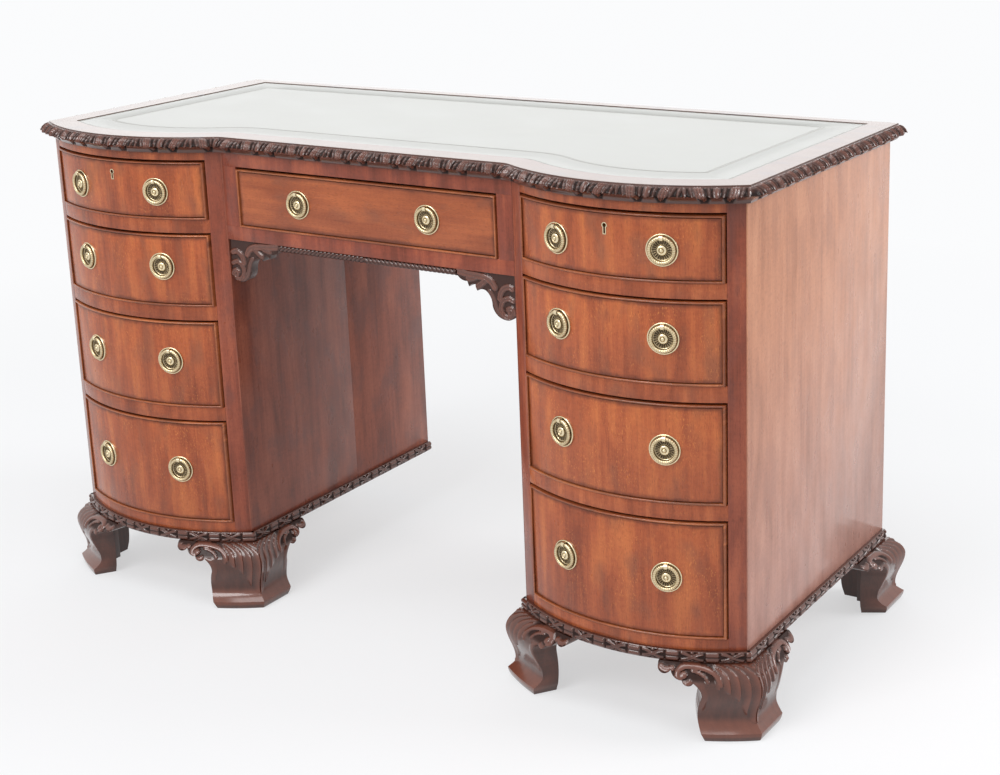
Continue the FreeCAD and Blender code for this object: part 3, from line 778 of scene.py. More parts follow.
def frieze_boards():
    low, high = node_box("centre_drawer_front")
    low_z, high_z = low.z - drawer_bottom_gap, high.z + drawer_top_gap
    face = (corner_y, face_back_y)
    width = (-half_kneehole, half_kneehole)
    stile_x = half_kneehole - frieze_stile_width
    boards = [grained(block(width, face, z_span, rail_bevel), "x", "y", "z")
              for z_span in ((high_z, carcass_top), (frieze_bottom, low_z))]
    for way in (1, -1):
        x_span = sorted((way * stile_x, way * half_kneehole))
        boards.append(grained(block(x_span, face, (low_z, high_z), rail_bevel), "x", "y", "z"))
    back = block(width, (case_back_y - frieze_back_thickness, case_back_y), (frieze_bottom, carcass_top))
    return boards + [grained(back, "z", "y", "x")]


# Carved strips

rope_fullness_share = 0.8


def rope_carving(along, height):
    """Slanting gadroons that turn about the middle of the strip."""
    turns = along / rope_pitch + np.where(along < 0, -rope_lean, rope_lean) * height
    return rope_height * np.abs(np.sin(np.pi * turns)) ** rope_fullness_share - rope_sink


def frieze_rope():
    radius = (rope_high.z - rope_low.z) / 2
    middle = (rope_low.z + rope_high.z) / 2
    angles = np.linspace(math.pi / 2, -math.pi / 2, 13)
    carved = np.stack([radius * np.cos(angles) - radius, middle + radius * np.sin(angles)], axis=1)
    depth = rope_high.y - corner_y
    back = np.array([(-depth, rope_low.z), (-depth, rope_high.z)])
    path = joined([along_line((rope_low.x, corner_y), (rope_high.x, corner_y), 400)])
    along = path["along"][:, None] - path["along"][-1] / 2
    relief = rope_carving(along + rope_middle_gap, np.sin(angles)[None, :] / 2)
    # The top rows sink into a groove that the carving's shade also paints dark: a real groove with a painted
    # shadow line over the rope
    relief[:, :2] = -rope_top_shadow_sink
    return swept(path, carved, back, relief)


# Carving of the base, as shares of a unit, of the strip's height and of the leaves' height
tablet_share = 0.38
tablet_ease_share = 0.06
bar_half_share = 0.24
cross_ease_share = 0.08
leaf_bend_share = 0.34
up_leaf_half_share = 0.20
up_leaf_vein_shares = (0.07, 0.45)
down_leaf_shares = (0.18, 0.8)
bud_place_share = 0.36
bud_stretch_shares = (2.2, 1.2)
bud_shares = (0.17, 0.8)
base_low_shares = (0.05, 0.13)
base_high_shares = (0.87, 0.95)
base_shift_share = 0.08


def base_carving(units, height):
    """Tablets of two rounded bars, in turn with crossed leaves."""
    share = units % 1
    in_tablet = between(share, (0.0, tablet_ease_share), (tablet_share - tablet_ease_share, tablet_share))
    bars = ridge((height % 0.5) - 0.25, bar_half_share)
    cross = (share - tablet_share) / (1 - tablet_share) - 0.5
    in_cross = ease(0.5 - np.abs(cross), 0.0, cross_ease_share)
    bend = leaf_bend_share * np.sin(np.pi * cross)
    vein_half, vein_depth = up_leaf_vein_shares
    down_half, down_height = down_leaf_shares
    bud_half, bud_height = bud_shares
    from_leaf = height - 0.5 - bend
    up_leaf = ridge(from_leaf, up_leaf_half_share) - vein_depth * ridge(from_leaf, vein_half)
    down_leaf = down_height * ridge(height - 0.5 + bend, down_half)
    from_bud = np.abs(height - 0.5) - bud_place_share
    bud = ridge(np.hypot(cross * bud_stretch_shares[0], from_bud * bud_stretch_shares[1]), bud_half)
    leaf = np.maximum(np.maximum(up_leaf, down_leaf), bud_height * bud)
    inside = between(height, base_low_shares, base_high_shares)
    return (base_leaf_height * np.maximum(in_tablet * bars, in_cross * leaf) - base_ground_depth) * inside


def base_path():
    """Way of a pedestal's base moulding: inner side, bow and outer side."""
    turn = math.acos(half_pedestal / bow_radius)
    inner = along_line((-half_pedestal, case_back_y), (-half_pedestal, corner_y))
    bow = along_arc((0, bow_centre_y), bow_radius, turn - math.pi, -turn)
    outer = along_line((half_pedestal, corner_y), (half_pedestal, case_back_y))
    return joined([inner, bow, outer])


def base_moulding():
    middle = (foot_height + carcass_bottom) / 2
    arc = arc_through((base_shoulder, carcass_bottom), (base_nose, middle), (base_shoulder, foot_height), 22)
    back = np.array([(-base_frame_width, foot_height), (-base_frame_width, carcass_bottom)])
    path = base_path()
    ways = lengths_along(arc)
    height = 1 - ways / ways[-1]
    relief = base_carving(carving_units(path, base_unit)[:, None] + base_shift_share, height[None, :])
    strip = swept(path, arc, back, relief)
    rail_x = half_pedestal - base_frame_width
    rail_y = case_back_y - base_frame_width
    rail = block((-rail_x, rail_x), (rail_y, case_back_y), (foot_height, carcass_bottom))
    return merged([strip, uncarved(grained(rail, "z", "y", "x"))])


# Flat outlines with relief

def inside_outline(points, outline):
    """Which points lie inside a closed outline."""
    x, y = points[:, 0][:, None], points[:, 1][:, None]
    start, end = outline, np.roll(outline, -1, axis=0)
    spans = (start[:, 1] > y) != (end[:, 1] > y)
    rise = np.where(end[:, 1] == start[:, 1], 1.0, end[:, 1] - start[:, 1])
    crossing = start[:, 0] + (y - start[:, 1]) * (end[:, 0] - start[:, 0]) / rise
    return (spans & (x < crossing)).sum(axis=1) % 2 == 1


def edge_distance(points, outline):
    """Distance of points from an outline that is given by close points."""
    return np.min(np.linalg.norm(points[:, None, :] - outline[None, :, :], axis=2), axis=1)


sheet_margin_share = 0.6


def sheet(outline, spacing):
    """Triangles over an outline, with an even grid of points inside; the outline's points come first."""
    lows, highs = outline.min(axis=0) / spacing, outline.max(axis=0) / spacing
    xs, ys = [np.arange(math.ceil(low), math.floor(high) + 1) * spacing for low, high in zip(lows, highs)]
    grid = np.stack(np.meshgrid(xs, ys), axis=2).reshape(-1, 2)
    grid = grid[inside_outline(grid, outline)]
    grid = grid[edge_distance(grid, outline) > spacing * sheet_margin_share]
    loop = list(range(len(outline)))
    found, cover = [delaunay_2d_cdt([Vector(point) for point in flat], [], [loop], 1, weld_gap)
                    for flat in (np.vstack([outline, grid]), outline)]
    return {"flat": np.array([point[:] for point in found[0]]), "front": found[2], "back": cover[2],
            "edge": len(outline)}


def sheet_solid(plan, front, back, relief):
    """Closed form between a relief front and a plain back."""
    count, edge = len(plan["flat"]), plan["edge"]
    faces = [list(face) for face in plan["front"]]
    faces += [[index + count for index in face] for face in plan["back"]] + wall_faces(edge, count)
    points = np.vstack([front, back[:edge]])
    flat = np.vstack([plan["flat"], plan["flat"][:edge]])
    grain = np.column_stack([flat, points[:, 1]])[:, [0, 2, 1]] + plank_shift()
    return points, faces, {"relief": np.concatenate([relief, np.zeros(edge)]), "grain": grain}


# Feet

wing_edge_shares = (((0.03, 0.19), (-0.02, 0.59)), ((0.03, 0.73), (0.155, 0.80)),
                    ((0.29, 0.765), (0.40, 0.825)), ((0.565, 0.85), (0.67, 0.925)),
                    ((0.845, 0.885), (0.98, 0.93)), ((0.996, 0.965), (1.0, 1.0)))


def wing_outline(length, toe):
    """Front outline of a foot's wing: distance from the corner, and height."""
    ridge_place = (toe, toe_ridge_height)
    arcs = [[(toe + past * (length - toe), rise * foot_height) for past, rise in pair]
            for pair in wing_edge_shares]
    toe_line = polyline([(0, 0), (toe - toe_tuck, 0), ridge_place], wing_step)[:-1]
    back_line = polyline([arcs[-1][1], (0, foot_height), (0, 0)], wing_step)[:-1]
    return np.vstack([toe_line, arc_chain(ridge_place, arcs, 22), back_line])


def ogee_reach(z):
    """How far a foot stands out at a height: bulge, waist and a toe with a ridge."""
    bulge_z, waist_z = bulge_height_share * foot_height, waist_height_share * foot_height
    top_share = np.clip((foot_height - z) / (foot_height - bulge_z), 0, 1)
    middle_share = np.clip((bulge_z - z) / (bulge_z - waist_z), 0, 1)
    toe_share = np.clip((waist_z - z) / (waist_z - toe_ridge_height), 0, 1)
    foot_share = np.clip((toe_ridge_height - z) / toe_ridge_height, 0, 1)
    reach = foot_top_reach + (foot_bulge_reach - foot_top_reach) * np.sin(np.pi / 2 * top_share)
    reach += (foot_waist_reach - foot_bulge_reach) * (1 - np.cos(np.pi * middle_share)) / 2
    reach += (toe_reach - foot_waist_reach) * (1 - np.cos(np.pi / 2 * toe_share))
    return reach + (toe_foot_reach - toe_reach) * foot_share ** 2


# Carving of a wing: distances from the corner and heights
flute_pitch = 11.4
flute_sweep = 18.0
flute_bend_z = 88.0
flute_bend_power = 2.6
flute_start_share = 0.15
lip_share = 0.22
lip_power = 0.9
lip_height = 2.9
leaf_sink = 0.6
groove_share = 0.17
groove_depth = 2.4
leaf_hem = ((0, 27), (8, 32), (14, 44), (20, 58), (27, 69), (35, 77), (43, 82), (60, 87))
leaf_hem_ease = 1.6
leaf_end = (45, 52)
scallop_depth = 6.0
scallop_shares = (0.4, 0.6)
scroll_eye = (87.0, 94.0)
scroll_eye_radius = 4.4
scroll_eye_height = 2.4
least_stroke = 0.3
field_depth = 1.4
field_rise = (84, 90)
roll_inset = 4.0
roll_half_width = 3.6
roll_height = 1.2
roll_start = (45, 55)
roll_rise = (34, 50)
roll_fall = (82, 87)
wing_strokes = ((3.4, 2.3, ((91, 88.5), (95.5, 93), (93.5, 99.5), (86, 103.5), (76, 104), (63.5, 102.5),
                            (52.5, 99), (46.5, 92), (45.5, 84))),
                (2.2, 1.5, ((76, 99), (67, 97), (61, 92), (59, 87))),
                (2.8, 1.6, ((89, 85), (85, 84), (80, 86.5))),
                (3.2, 1.8, ((101, 100), (106, 98), (112, 98), (116, 101))))


def strokes(flat, lines):
    """Round ridges along smooth lines, each with its half width, height and places."""
    raised = np.zeros(len(flat))
    for half, height, places in lines:
        raised = np.maximum(raised, height * ridge(edge_distance(flat, smooth_line(places)), half))
    return raised


def wing_carving(flat, edge):
    """Leaves that sweep down to the corner, a scroll with an eye over them and a rolled inner edge."""
    along, z = flat.T
    rise = np.clip((z - flute_bend_z) / (foot_height - flute_bend_z), 0, 1)
    turn = ((along - flute_sweep * rise ** flute_bend_power) / flute_pitch + flute_start_share) % 1
    lip = np.where(turn < lip_share, turn / lip_share, ((1 - turn) / (1 - lip_share)) ** lip_power)
    groove = ridge(np.minimum(turn, 1 - turn), groove_share)
    scallop = ridge(turn - scallop_shares[0], scallop_shares[1])
    hem = np.interp(along, *zip(*leaf_hem)) - scallop_depth * scallop
    leaf = ease(z, hem, hem + leaf_hem_ease) * (1 - ease(along, *leaf_end))
    flutes = (lip_height * lip - leaf_sink - groove_depth * groove) * leaf
    eye = np.hypot(along - scroll_eye[0], z - scroll_eye[1])
    raised = np.maximum(strokes(flat, wing_strokes), scroll_eye_height * ridge(eye, scroll_eye_radius))
    sunk = field_depth * ease(z, *field_rise) * ease(along, *leaf_end)
    rolled = roll_height * ridge(edge - roll_inset, roll_half_width)
    rolled = rolled * between(z, roll_rise, roll_fall) * ease(along, *roll_start)
    carved = np.where(raised > least_stroke, raised, np.maximum(flutes, raised) - sunk)
    return carved * ease(edge, 0.0, wing_edge_ease) + rolled


def corner_of(offset):
    """Right front corner of a pedestal's plan, moved outwards by an offset on both faces."""
    x = half_pedestal + offset
    return x, bow_centre_y - np.sqrt((bow_radius + offset) ** 2 - x ** 2)


def on_way(start, end, along, length):
    """Place after a distance along a way of a given length."""
    return start + (end - start) * along / length


def bowed_wing_place(along, z, reach):
    """Point on the front wing, which follows the bow from the mitre at the corner."""
    x, y = corner_of(reach)
    start = np.arctan2(y - bow_centre_y, x)
    corner_x, corner_y_here = corner_of(0.0)
    end = math.atan2(corner_y_here - bow_centre_y, corner_x) - wing_length / bow_radius
    angle = on_way(start, end, along, wing_length)
    radius = bow_radius + reach
    return np.column_stack([radius * np.cos(angle), bow_centre_y + radius * np.sin(angle), z])


def side_wing_place(along, z, reach):
    """Point on the wing that runs back along the pedestal's side."""
    x, start = corner_of(reach)
    return np.column_stack([x, on_way(start, corner_y + side_wing_length, along, side_wing_length), z])


def rear_side_wing_place(along, z, reach):
    """Point on the wing that runs forward from the pedestal's back corner."""
    y = on_way(case_back_y + reach, case_back_y - side_wing_length, along, side_wing_length)
    return np.column_stack([half_pedestal + reach, y, z])


def rear_back_wing_place(along, z, reach):
    """Point on the wing that runs across the pedestal's back from the corner."""
    x = on_way(half_pedestal + reach, half_pedestal - side_wing_length, along, side_wing_length)
    return np.column_stack([x, case_back_y + reach, z])


def wing(plan, place):
    along, z = plan["flat"].T
    outline = plan["flat"][:plan["edge"]]
    free = outline[(outline[:, 0] > edge_gap) & (outline[:, 1] < foot_height - edge_gap)]
    stretched = plan["flat"] * np.array([wing_length / along.max(), 1.0])
    relief = wing_carving(stretched, edge_distance(plan["flat"], free))
    front = place(along, z, ogee_reach(z) + relief)
    back = place(along, z, np.full(len(z), -foot_inset))
    # Painted light: the toe's upward slope is painted lighter in the carving's shade, while its form stays
    toe_lit = toe_painted_light * between(z, toe_light_rise, toe_light_fall)
    return sheet_solid(plan, front, back, relief + toe_lit)


def glue_block(outline):
    return uncarved(grained(prism(outline, glue_block_lift, foot_height), "x", "y", "z"))


def front_foot(plan, side_plan):
    x = half_pedestal - foot_inset
    outline = slab_outline((x - glue_block_width, x), -foot_inset, corner_y + glue_block_width, 8)
    return merged([wing(plan, bowed_wing_place), wing(side_plan, side_wing_place), glue_block(outline)])


def rear_foot(plan):
    x, y = half_pedestal - foot_inset, case_back_y - foot_inset
    outline = rectangle((x - glue_block_width, x), (y - glue_block_width, y))
    return merged([wing(plan, rear_side_wing_place), wing(plan, rear_back_wing_place), glue_block(outline)])


def flipped(part):
    """A part mirrored from right to left."""
    points, faces, fields = part
    return points * np.array([-1, 1, 1]), faces, fields


# Kneehole brackets

bracket_tip_shares = ((1.0, 0.0), (0.985, 0.14))
bracket_leaf_shares = (((0.90, 0.24), (0.82, 0.25)), ((0.805, 0.31), (0.79, 0.365)),
                       ((0.75, 0.315), (0.68, 0.30)), ((0.675, 0.37), (0.65, 0.435)),
                       ((0.58, 0.39), (0.51, 0.405)), ((0.445, 0.50), (0.405, 0.71)),
                       ((0.34, 0.90), (0.20, 1.0)), ((0.09, 0.98), (0.02, 0.88)))


def bracket_place(shares):
    drop = frieze_bottom - bracket_low.z
    return np.array((half_kneehole - shares[0] * bracket_width, frieze_bottom - shares[1] * drop))


def bracket_outline():
    """Front outline of the right bracket: x and z."""
    tip, shoulder = [bracket_place(shares) for shares in bracket_tip_shares]
    arcs = [[bracket_place(shares) for shares in pair] for pair in bracket_leaf_shares]
    foot = arcs[-1][1]
    tip_line = polyline([tip, shoulder], bracket_step)[:-1]
    corner_line = polyline([foot, (half_kneehole, foot[1]), bracket_place((0, 0)), tip], bracket_step)[:-1]
    return np.vstack([tip_line, arc_chain(shoulder, arcs, 16), corner_line])


# Carving of a bracket: half width and height of a stroke, and its places as shares of the bracket's width
# from the pedestal and of its drop
bracket_strokes = ((4.2, 3.0, ((1.0, 0.05), (0.85, 0.08), (0.66, 0.10), (0.50, 0.12), (0.40, 0.19),
                               (0.35, 0.31))),
                   (3.4, 2.2, ((0.80, 0.20), (0.72, 0.17), (0.64, 0.12))),
                   (3.4, 2.2, ((0.64, 0.34), (0.56, 0.26), (0.48, 0.16))),
                   (3.6, 2.8, ((0.06, 0.30), (0.12, 0.26), (0.19, 0.30), (0.25, 0.40), (0.27, 0.54))),
                   (3.2, 2.6, ((0.05, 0.56), (0.12, 0.51), (0.20, 0.55), (0.26, 0.68), (0.25, 0.84),
                               (0.17, 0.95), (0.07, 0.93), (0.03, 0.82), (0.08, 0.72), (0.14, 0.76))),
                   (3.0, 1.6, ((0.44, 0.42), (0.38, 0.56), (0.35, 0.72), (0.31, 0.86), (0.22, 0.97))))
bracket_bud_shares = (0.12, 0.84)
stroke_shares = (1.35, 1.15)
vein_shares = (0.35, 0.4)


def scaled_strokes(lines, shares):
    """Strokes with their half widths and heights changed by two shares."""
    return [(shares[0] * half, shares[1] * height, places) for half, height, places in lines]


def bracket_carving(flat, edge):
    """Long leaf with side lobes, a C-scroll and a spiral at the foot, on a sunk ground."""
    lines = [(half, height, [bracket_place(place) for place in places])
             for half, height, places in scaled_strokes(bracket_strokes, stroke_shares)]
    veins = strokes(flat, scaled_strokes(lines, vein_shares))
    from_bud = np.linalg.norm(flat - bracket_place(bracket_bud_shares), axis=1)
    bud = bracket_bud_height * ridge(from_bud, bracket_bud_radius)
    raised = np.maximum(strokes(flat, lines) - veins, bud) - bracket_ground_depth
    rounding = bracket_edge_drop * (1 - ease(edge, 0.0, bracket_edge_ease))
    return raised * ease(edge, 0.0, bracket_ground_ease) - rounding


def kneehole_bracket():
    outline = bracket_outline()
    plan = sheet(outline, bracket_step)
    x, z = plan["flat"].T
    free = outline[(outline[:, 1] < frieze_bottom - edge_gap) & (outline[:, 0] < half_kneehole - edge_gap)]
    relief = bracket_carving(plan["flat"], edge_distance(plan["flat"], free))
    front_y = bracket_low.y + bracket_setback
    front = np.column_stack([x, front_y - np.minimum(relief, bracket_crest), z])
    back = np.column_stack([x, np.full(len(x), bracket_high.y), z])
    return sheet_solid(plan, front, back, relief)


# Drawers

def drawer_list():
    """Name, side and whether bowed of every drawer."""
    names = [(f"{word}_drawer_{index}", side, True) for word, side in (("left", -1), ("right", 1))
             for index in drawer_numbers]
    return names + [("centre_drawer", 0, False)]


def drawer_size(name):
    """A front's half width and heights, about the middle of its opening."""
    low, high = node_box(f"{name}_front")
    return (high.x - low.x) / 2 - front_side_gap, (low.z, high.z)


def bead_section():
    """Section of a cock bead with a round nose: distance in from the opening, and out from the face."""
    angles = np.linspace(math.pi, 0, 9)
    half = bead_width / 2
    ins = half + half * np.cos(angles)
    outs = bead_proud - bead_round + bead_round * np.sin(angles)
    nose = np.stack([ins, outs], axis=1)
    return np.vstack([[(0, -bead_depth)], nose, [(bead_width, -bead_depth)]])


def bead_runs(half, z_span):
    """Places along the four sides of a front, each with the way to its inside."""
    xs = np.linspace(-half, half, 40)
    zs = np.linspace(z_span[0], z_span[1], 6)
    sides = [(xs, np.full(len(xs), z_span[0]), (0, 1)), (np.full(len(zs), half), zs, (-1, 0)),
             (xs[::-1], np.full(len(xs), z_span[1]), (0, -1)), (np.full(len(zs), -half), zs[::-1], (1, 0))]
    return [(np.column_stack([side_xs, side_zs])[:-1], np.array(way)) for side_xs, side_zs, way in sides]


def bead_frame(half, z_span, bowed):
    """Mitred cock bead round a drawer front, as one closed loop."""
    section = bead_section()
    runs = bead_runs(half, z_span)
    points, grain = [], []
    for index, (run, way) in enumerate(runs):
        mitre = way + runs[index - 1][1]
        for place_index, place in enumerate(run):
            spots = place + (way if place_index else mitre) * section[:, :1]
            ys = bow_y(spots[:, 0], section[:, 1]) if bowed else corner_y - section[:, 1]
            points.append(np.column_stack([spots[:, 0], ys, spots[:, 1]]))
            length = place[0] if way[1] else place[1]
            grain.append(np.column_stack([section, np.full(len(section), length + bead_grain_step * index)]))
    faces = tube_faces(len(points), len(section), looped=True)
    return np.vstack(points), faces, {"grain": np.vstack(grain) + plank_shift()}


def front_board(half, z_span, bowed):
    """Face of a drawer front inside the bead, and the full board behind it."""
    inset = bead_width + bead_quirk
    inner = half - inset
    inner_z = (z_span[0] + inset, z_span[1] - inset)
    face = prism(curved_outline((-inner, inner), 0, bead_depth, bowed), *inner_z, face_bevel)
    core = prism(curved_outline((-half, half), -bead_depth, front_thickness, bowed), *z_span, fine_bevel)
    return face, core


def front_fields(points, half, z_span, bowed):
    """Grain, and place as a share of the front's half size, of points on a drawer front."""
    x, y, z = points.T
    across = bow_radius * np.arcsin(x / bow_radius) if bowed else x
    axes = [across, y, z] if bowed else [z, y, x]
    half_height = (z_span[1] - z_span[0]) / 2
    middle = (z_span[0] + z_span[1]) / 2
    place = np.column_stack([x / half, (z - middle) / half_height, np.zeros(len(x))])
    size = np.tile((half, half_height, 0.0), (len(x), 1))
    return {"grain": np.column_stack(axes), "face_place": place, "face_size": size}


def keyhole_outline(centre_z, wall):
    """Outline of a keyhole: a round over a slot."""
    radius = keyhole_radius + wall
    half_slot = keyhole_half_slot + wall
    turn = math.asin(half_slot / radius)
    angles = np.linspace(-math.pi / 2 + turn, 1.5 * math.pi - turn, 24)
    ring = np.stack([radius * np.cos(angles), centre_z + radius * np.sin(angles)], axis=1)
    low = centre_z - keyhole_slot_drop - wall
    return np.vstack([ring, [(-half_slot, low), (half_slot, low)]])


def upright_prism(outline, y_span):
    """Form of an outline in x and z, from one y to another."""
    points = np.vstack([np.insert(outline, 1, y, axis=1) for y in y_span])
    count = len(outline)
    return points, [list(range(count)), list(range(count, 2 * count))] + wall_faces(count, count)


def cut_by(solid, cutters):
    """A solid less several others."""
    meshes = [make_mesh("cutting", form + ({},)) for form in [solid] + cutters]
    target, *helpers = [put_object("cutting", mesh) for mesh in meshes]
    for helper in helpers:
        modifier = target.modifiers.new("cut", "BOOLEAN")
        modifier.object = helper
        modifier.solver = "EXACT"
    graph = bpy.context.evaluated_depsgraph_get()
    result = target.evaluated_get(graph).to_mesh()
    points = np.array([vert.co[:] for vert in result.vertices]) / mm
    faces = [list(face.vertices) for face in result.polygons]
    for helper in helpers + [target]:
        mesh = helper.data
        bpy.data.objects.remove(helper)
        bpy.data.meshes.remove(mesh)
    return points, faces


def lock_cutters(z_span):
    """Pocket for the lock case, and the keyhole through the front."""
    top = z_span[1]
    pocket_y = bow_y(lock_half_width, -bead_depth) + lock_cover
    pocket = block((-lock_half_width, lock_half_width), (pocket_y, pocket_y + 2 * front_thickness),
                   (top - lock_height, top + lock_overrun), cutter_bevel)
    centre_z = top - keyhole_drop
    face_y = float(bow_y(0.0))
    start_y = face_y - cut_overrun
    rim = upright_prism(keyhole_outline(centre_z, escutcheon_wall), (start_y, face_y + escutcheon_depth))
    hole = upright_prism(keyhole_outline(centre_z, 0.0), (start_y, face_y + 2 * front_thickness))
    return [pocket, rim, hole]


def drawer_front(half, z_span, bowed, locked):
    shift = plank_shift()
    parts = []
    for solid in front_board(half, z_span, bowed):
        if locked:
            solid = cut_by(solid, lock_cutters(z_span))
        points, faces = solid
        fields = front_fields(points, half, z_span, bowed)
        fields["grain"] = fields["grain"] + shift
        parts.append((points, faces, fields))
    return merged(parts)


# Ring pulls, about the middle of the plate's back, with -Y pointing out of the drawer

def turned(profile, count, ripple=None):
    """Form turned about the Y axis from (radius, out) pairs; ripple changes the height by angle."""
    angles = np.linspace(0, 2 * math.pi, count, endpoint=False)
    rows = []
    for radius, out in profile:
        outs = np.full(count, out)
        if ripple is not None:
            outs = outs + ripple(radius, angles)
        rows.append(np.column_stack([radius * np.cos(angles), -outs, radius * np.sin(angles)]))
    return np.vstack(rows), tube_faces(len(rows), count)


def dish_ripple(radius, angles):
    """Radial flutes in the dish round the boss."""
    rise = (boss_radius, boss_radius + dish_flute_start)
    fall = [dish_radius - inset for inset in dish_flute_end]
    return -dish_flute_depth * between(radius, rise, fall) * (0.5 + 0.5 * np.cos(dish_flutes * angles))


# Step of the dish's rim: past the dish's radius, and over the plate
dish_rim = ((1.2, 0.0), (0.3, 0.25), (-0.3, -0.2))
# Turned boss: radii, and heights over the drawer front
boss_profile = ((boss_radius, 1.6), (boss_radius, 3.3), (6.5, 4.1), (5.6, 4.6), (4.6, 5.0), (3.9, 5.1),
                (3.5, 4.7), (3.1, 4.4), (2.7, 4.5), (2.4, 5.2), (1.9, 6.0), (1.2, 6.3), (axis_radius, 6.4))


def plate_profile():
    """Rim, flat track, fluted dish and turned boss, from the back of the plate to its middle."""
    rim_angles = np.linspace(0, math.pi, 9)
    rim = [(plate_radius - rim_width / 2 + rim_width / 2 * math.cos(angle),
            plate_thickness + (rim_height - plate_thickness) * math.sin(angle)) for angle in rim_angles]
    track = [(dish_radius + past, plate_thickness + over) for past, over in dish_rim]
    dish_radii = np.linspace(dish_radius - dish_margin, boss_radius + boss_margin, 12)
    dish = [(radius, dish_height + dish_lift) for radius in dish_radii]
    back = [(axis_radius, -plate_seat), (plate_radius, -plate_seat)]
    return back + rim + track + dish + list(boss_profile)


def lug_eye():
    """Tube round the ring's wire at the top of the plate, and the neck behind it."""
    angles = np.linspace(0, 2 * math.pi, 28, endpoint=False)
    half = lug_width / 2
    right = [(half - lug_chamfer, lug_eye_radius), (half, lug_eye_radius - lug_chamfer),
             (half, lug_bore_radius)]
    loop = right + [(-x, radius) for x, radius in right[::-1]]
    rows = [[(x, -ring_reach - radius * math.sin(angle), ring_radius + radius * math.cos(angle))
             for x, radius in loop] for angle in angles]
    eye = np.array(rows).reshape(-1, 3), tube_faces(len(rows), len(loop), looped=True)
    neck_z = (ring_radius - lug_eye_radius + neck_inset, ring_radius + lug_eye_radius - neck_inset)
    neck = block((-half, half), (-ring_reach + lug_bore_radius, 0.0), neck_z, fine_bevel)
    return [eye, neck]


def stem_and_nut():
    """Stem through the drawer front, with a six-sided nut behind it."""
    start = front_thickness + nut_gap
    end = -start - nut_thickness - stem_tail
    tip = (stem_radius - stem_chamfer, end - stem_chamfer)
    stem = turned([(stem_radius, 0.0), (stem_radius, end), tip], 20)
    angles = np.arange(6) * math.pi / 3
    outline = np.stack([nut_radius * np.cos(angles), nut_radius * np.sin(angles)], axis=1)
    points, faces = prism(outline, start, start + nut_thickness, nut_bevel)
    return [stem, (points[:, [0, 2, 1]], faces)]


# Tarnish on a plate: the radii over which it comes and goes, the height up to which it lies outside the
# boss, and the shares that the spokes lose and that the track and the boss have
dish_grime = ((6.7, 7.5), (12.9, 13.8))
track_grime = ((13.9, 14.9), (19.0, 20.0))
boss_grime = ((2.5, 2.8), (3.4, 3.8))
grime_height = 3.2
grime_boss_radius = 5.0
clean_spoke_share = 0.42
track_grime_share = 0.8
boss_grime_share = 0.6


def plate_grime(points):
    """Where tarnish gathers: the flutes of the dish and the track under the ring."""
    x, y, z = points.T
    radius = np.hypot(x, z)
    spokes = 0.5 - 0.5 * np.cos(dish_flutes * np.arctan2(z, x))
    dish = between(radius, *dish_grime) * (1.0 - clean_spoke_share * spokes ** 2)
    track = track_grime_share * between(radius, *track_grime)
    boss = boss_grime_share * between(radius, *boss_grime)
    reached = (y > -grime_height) | (radius < grime_boss_radius)
    return np.maximum(np.maximum(dish, track), boss) * np.where(reached, 1.0, 0.0)


def handle_plate():
    solids = [turned(plate_profile(), 104, dish_ripple)] + lug_eye() + stem_and_nut()
    return merged([(points, faces, {"darkening": plate_grime(points)}) for points, faces in solids])


ring_lug_shares = (0.93, 0.97)
ring_grime_share = 0.22
ring_clean_share = 0.14


def pull_ring():
    """Ring with a roped outer face."""
    turns = np.linspace(0, 2 * math.pi, 216, endpoint=False)
    angles = np.linspace(0, 2 * math.pi, 20, endpoint=False)
    rows, darkening = [], []
    for turn in turns:
        at_lug = ease(math.cos(turn), *ring_lug_shares)
        wave = np.cos(ring_ropes * turn + ring_rope_lean * np.cos(angles)) * (1 - at_lug)
        wire = ring_wire_radius - ring_rope_sink + ring_rope_height * wave
        radius = ring_radius + wire * np.cos(angles)
        out = -ring_reach - wire * np.sin(angles)
        rows.append(np.column_stack([radius * math.sin(turn), out, radius * math.cos(turn)]))
        darkening.append(ring_grime_share - ring_clean_share * wave)
    faces = tube_faces(len(turns), len(angles), looped=True)
    return np.vstack(rows), faces, {"darkening": np.concatenate(darkening)}


# Materials

def add(tree, kind, inputs=None, **settings):
    """Node with its settings, and its inputs either linked or set."""
    made = tree.nodes.new(kind)
    for key, value in settings.items():
        setattr(made, key, value)
    for key, value in (inputs or {}).items():
        if isinstance(value, bpy.types.NodeSocket):
            tree.links.new(value, made.inputs[key])
        else:
            made.inputs[key].default_value = value
    return made


def sums(tree, operation, first, second):
    return add(tree, "ShaderNodeMath", {0: first, 1: second}, operation=operation).outputs[0]


def times(tree, first, second):
    return sums(tree, "MULTIPLY", first, second)


def vectors(tree, operation, first, second):
    return add(tree, "ShaderNodeVectorMath", {0: first, 1: second}, operation=operation).outputs[0]


def weighted(tree, pairs):
    """Sum of values times their weights."""
    total = None
    for value, weight in pairs:
        scaled = times(tree, value, weight)
        total = scaled if total is None else sums(tree, "ADD", total, scaled)
    return total


def noise(tree, vector, sizes, detail=2.0, distortion=0.0):
    """Noise whose blobs have the given sizes along the vector's three axes."""
    stretched = vectors(tree, "MULTIPLY", vector, tuple(1 / size for size in sizes))
    inputs = {"Vector": stretched, "Scale": 1.0, "Detail": detail, "Distortion": distortion}
    return add(tree, "ShaderNodeTexNoise", inputs).outputs["Fac"]


def ramp(tree, value, stops):
    made = add(tree, "ShaderNodeValToRGB", {"Fac": value})
    bar = made.color_ramp
    while len(bar.elements) < len(stops):
        bar.elements.new(0.5)
    for element, (place, colour) in zip(bar.elements, stops):
        element.position = place
        element.color = colour if len(colour) == 4 else (*colour, 1.0)
    return made.outputs["Color"]


def grey(level):
    return (level, level, level, 1.0)


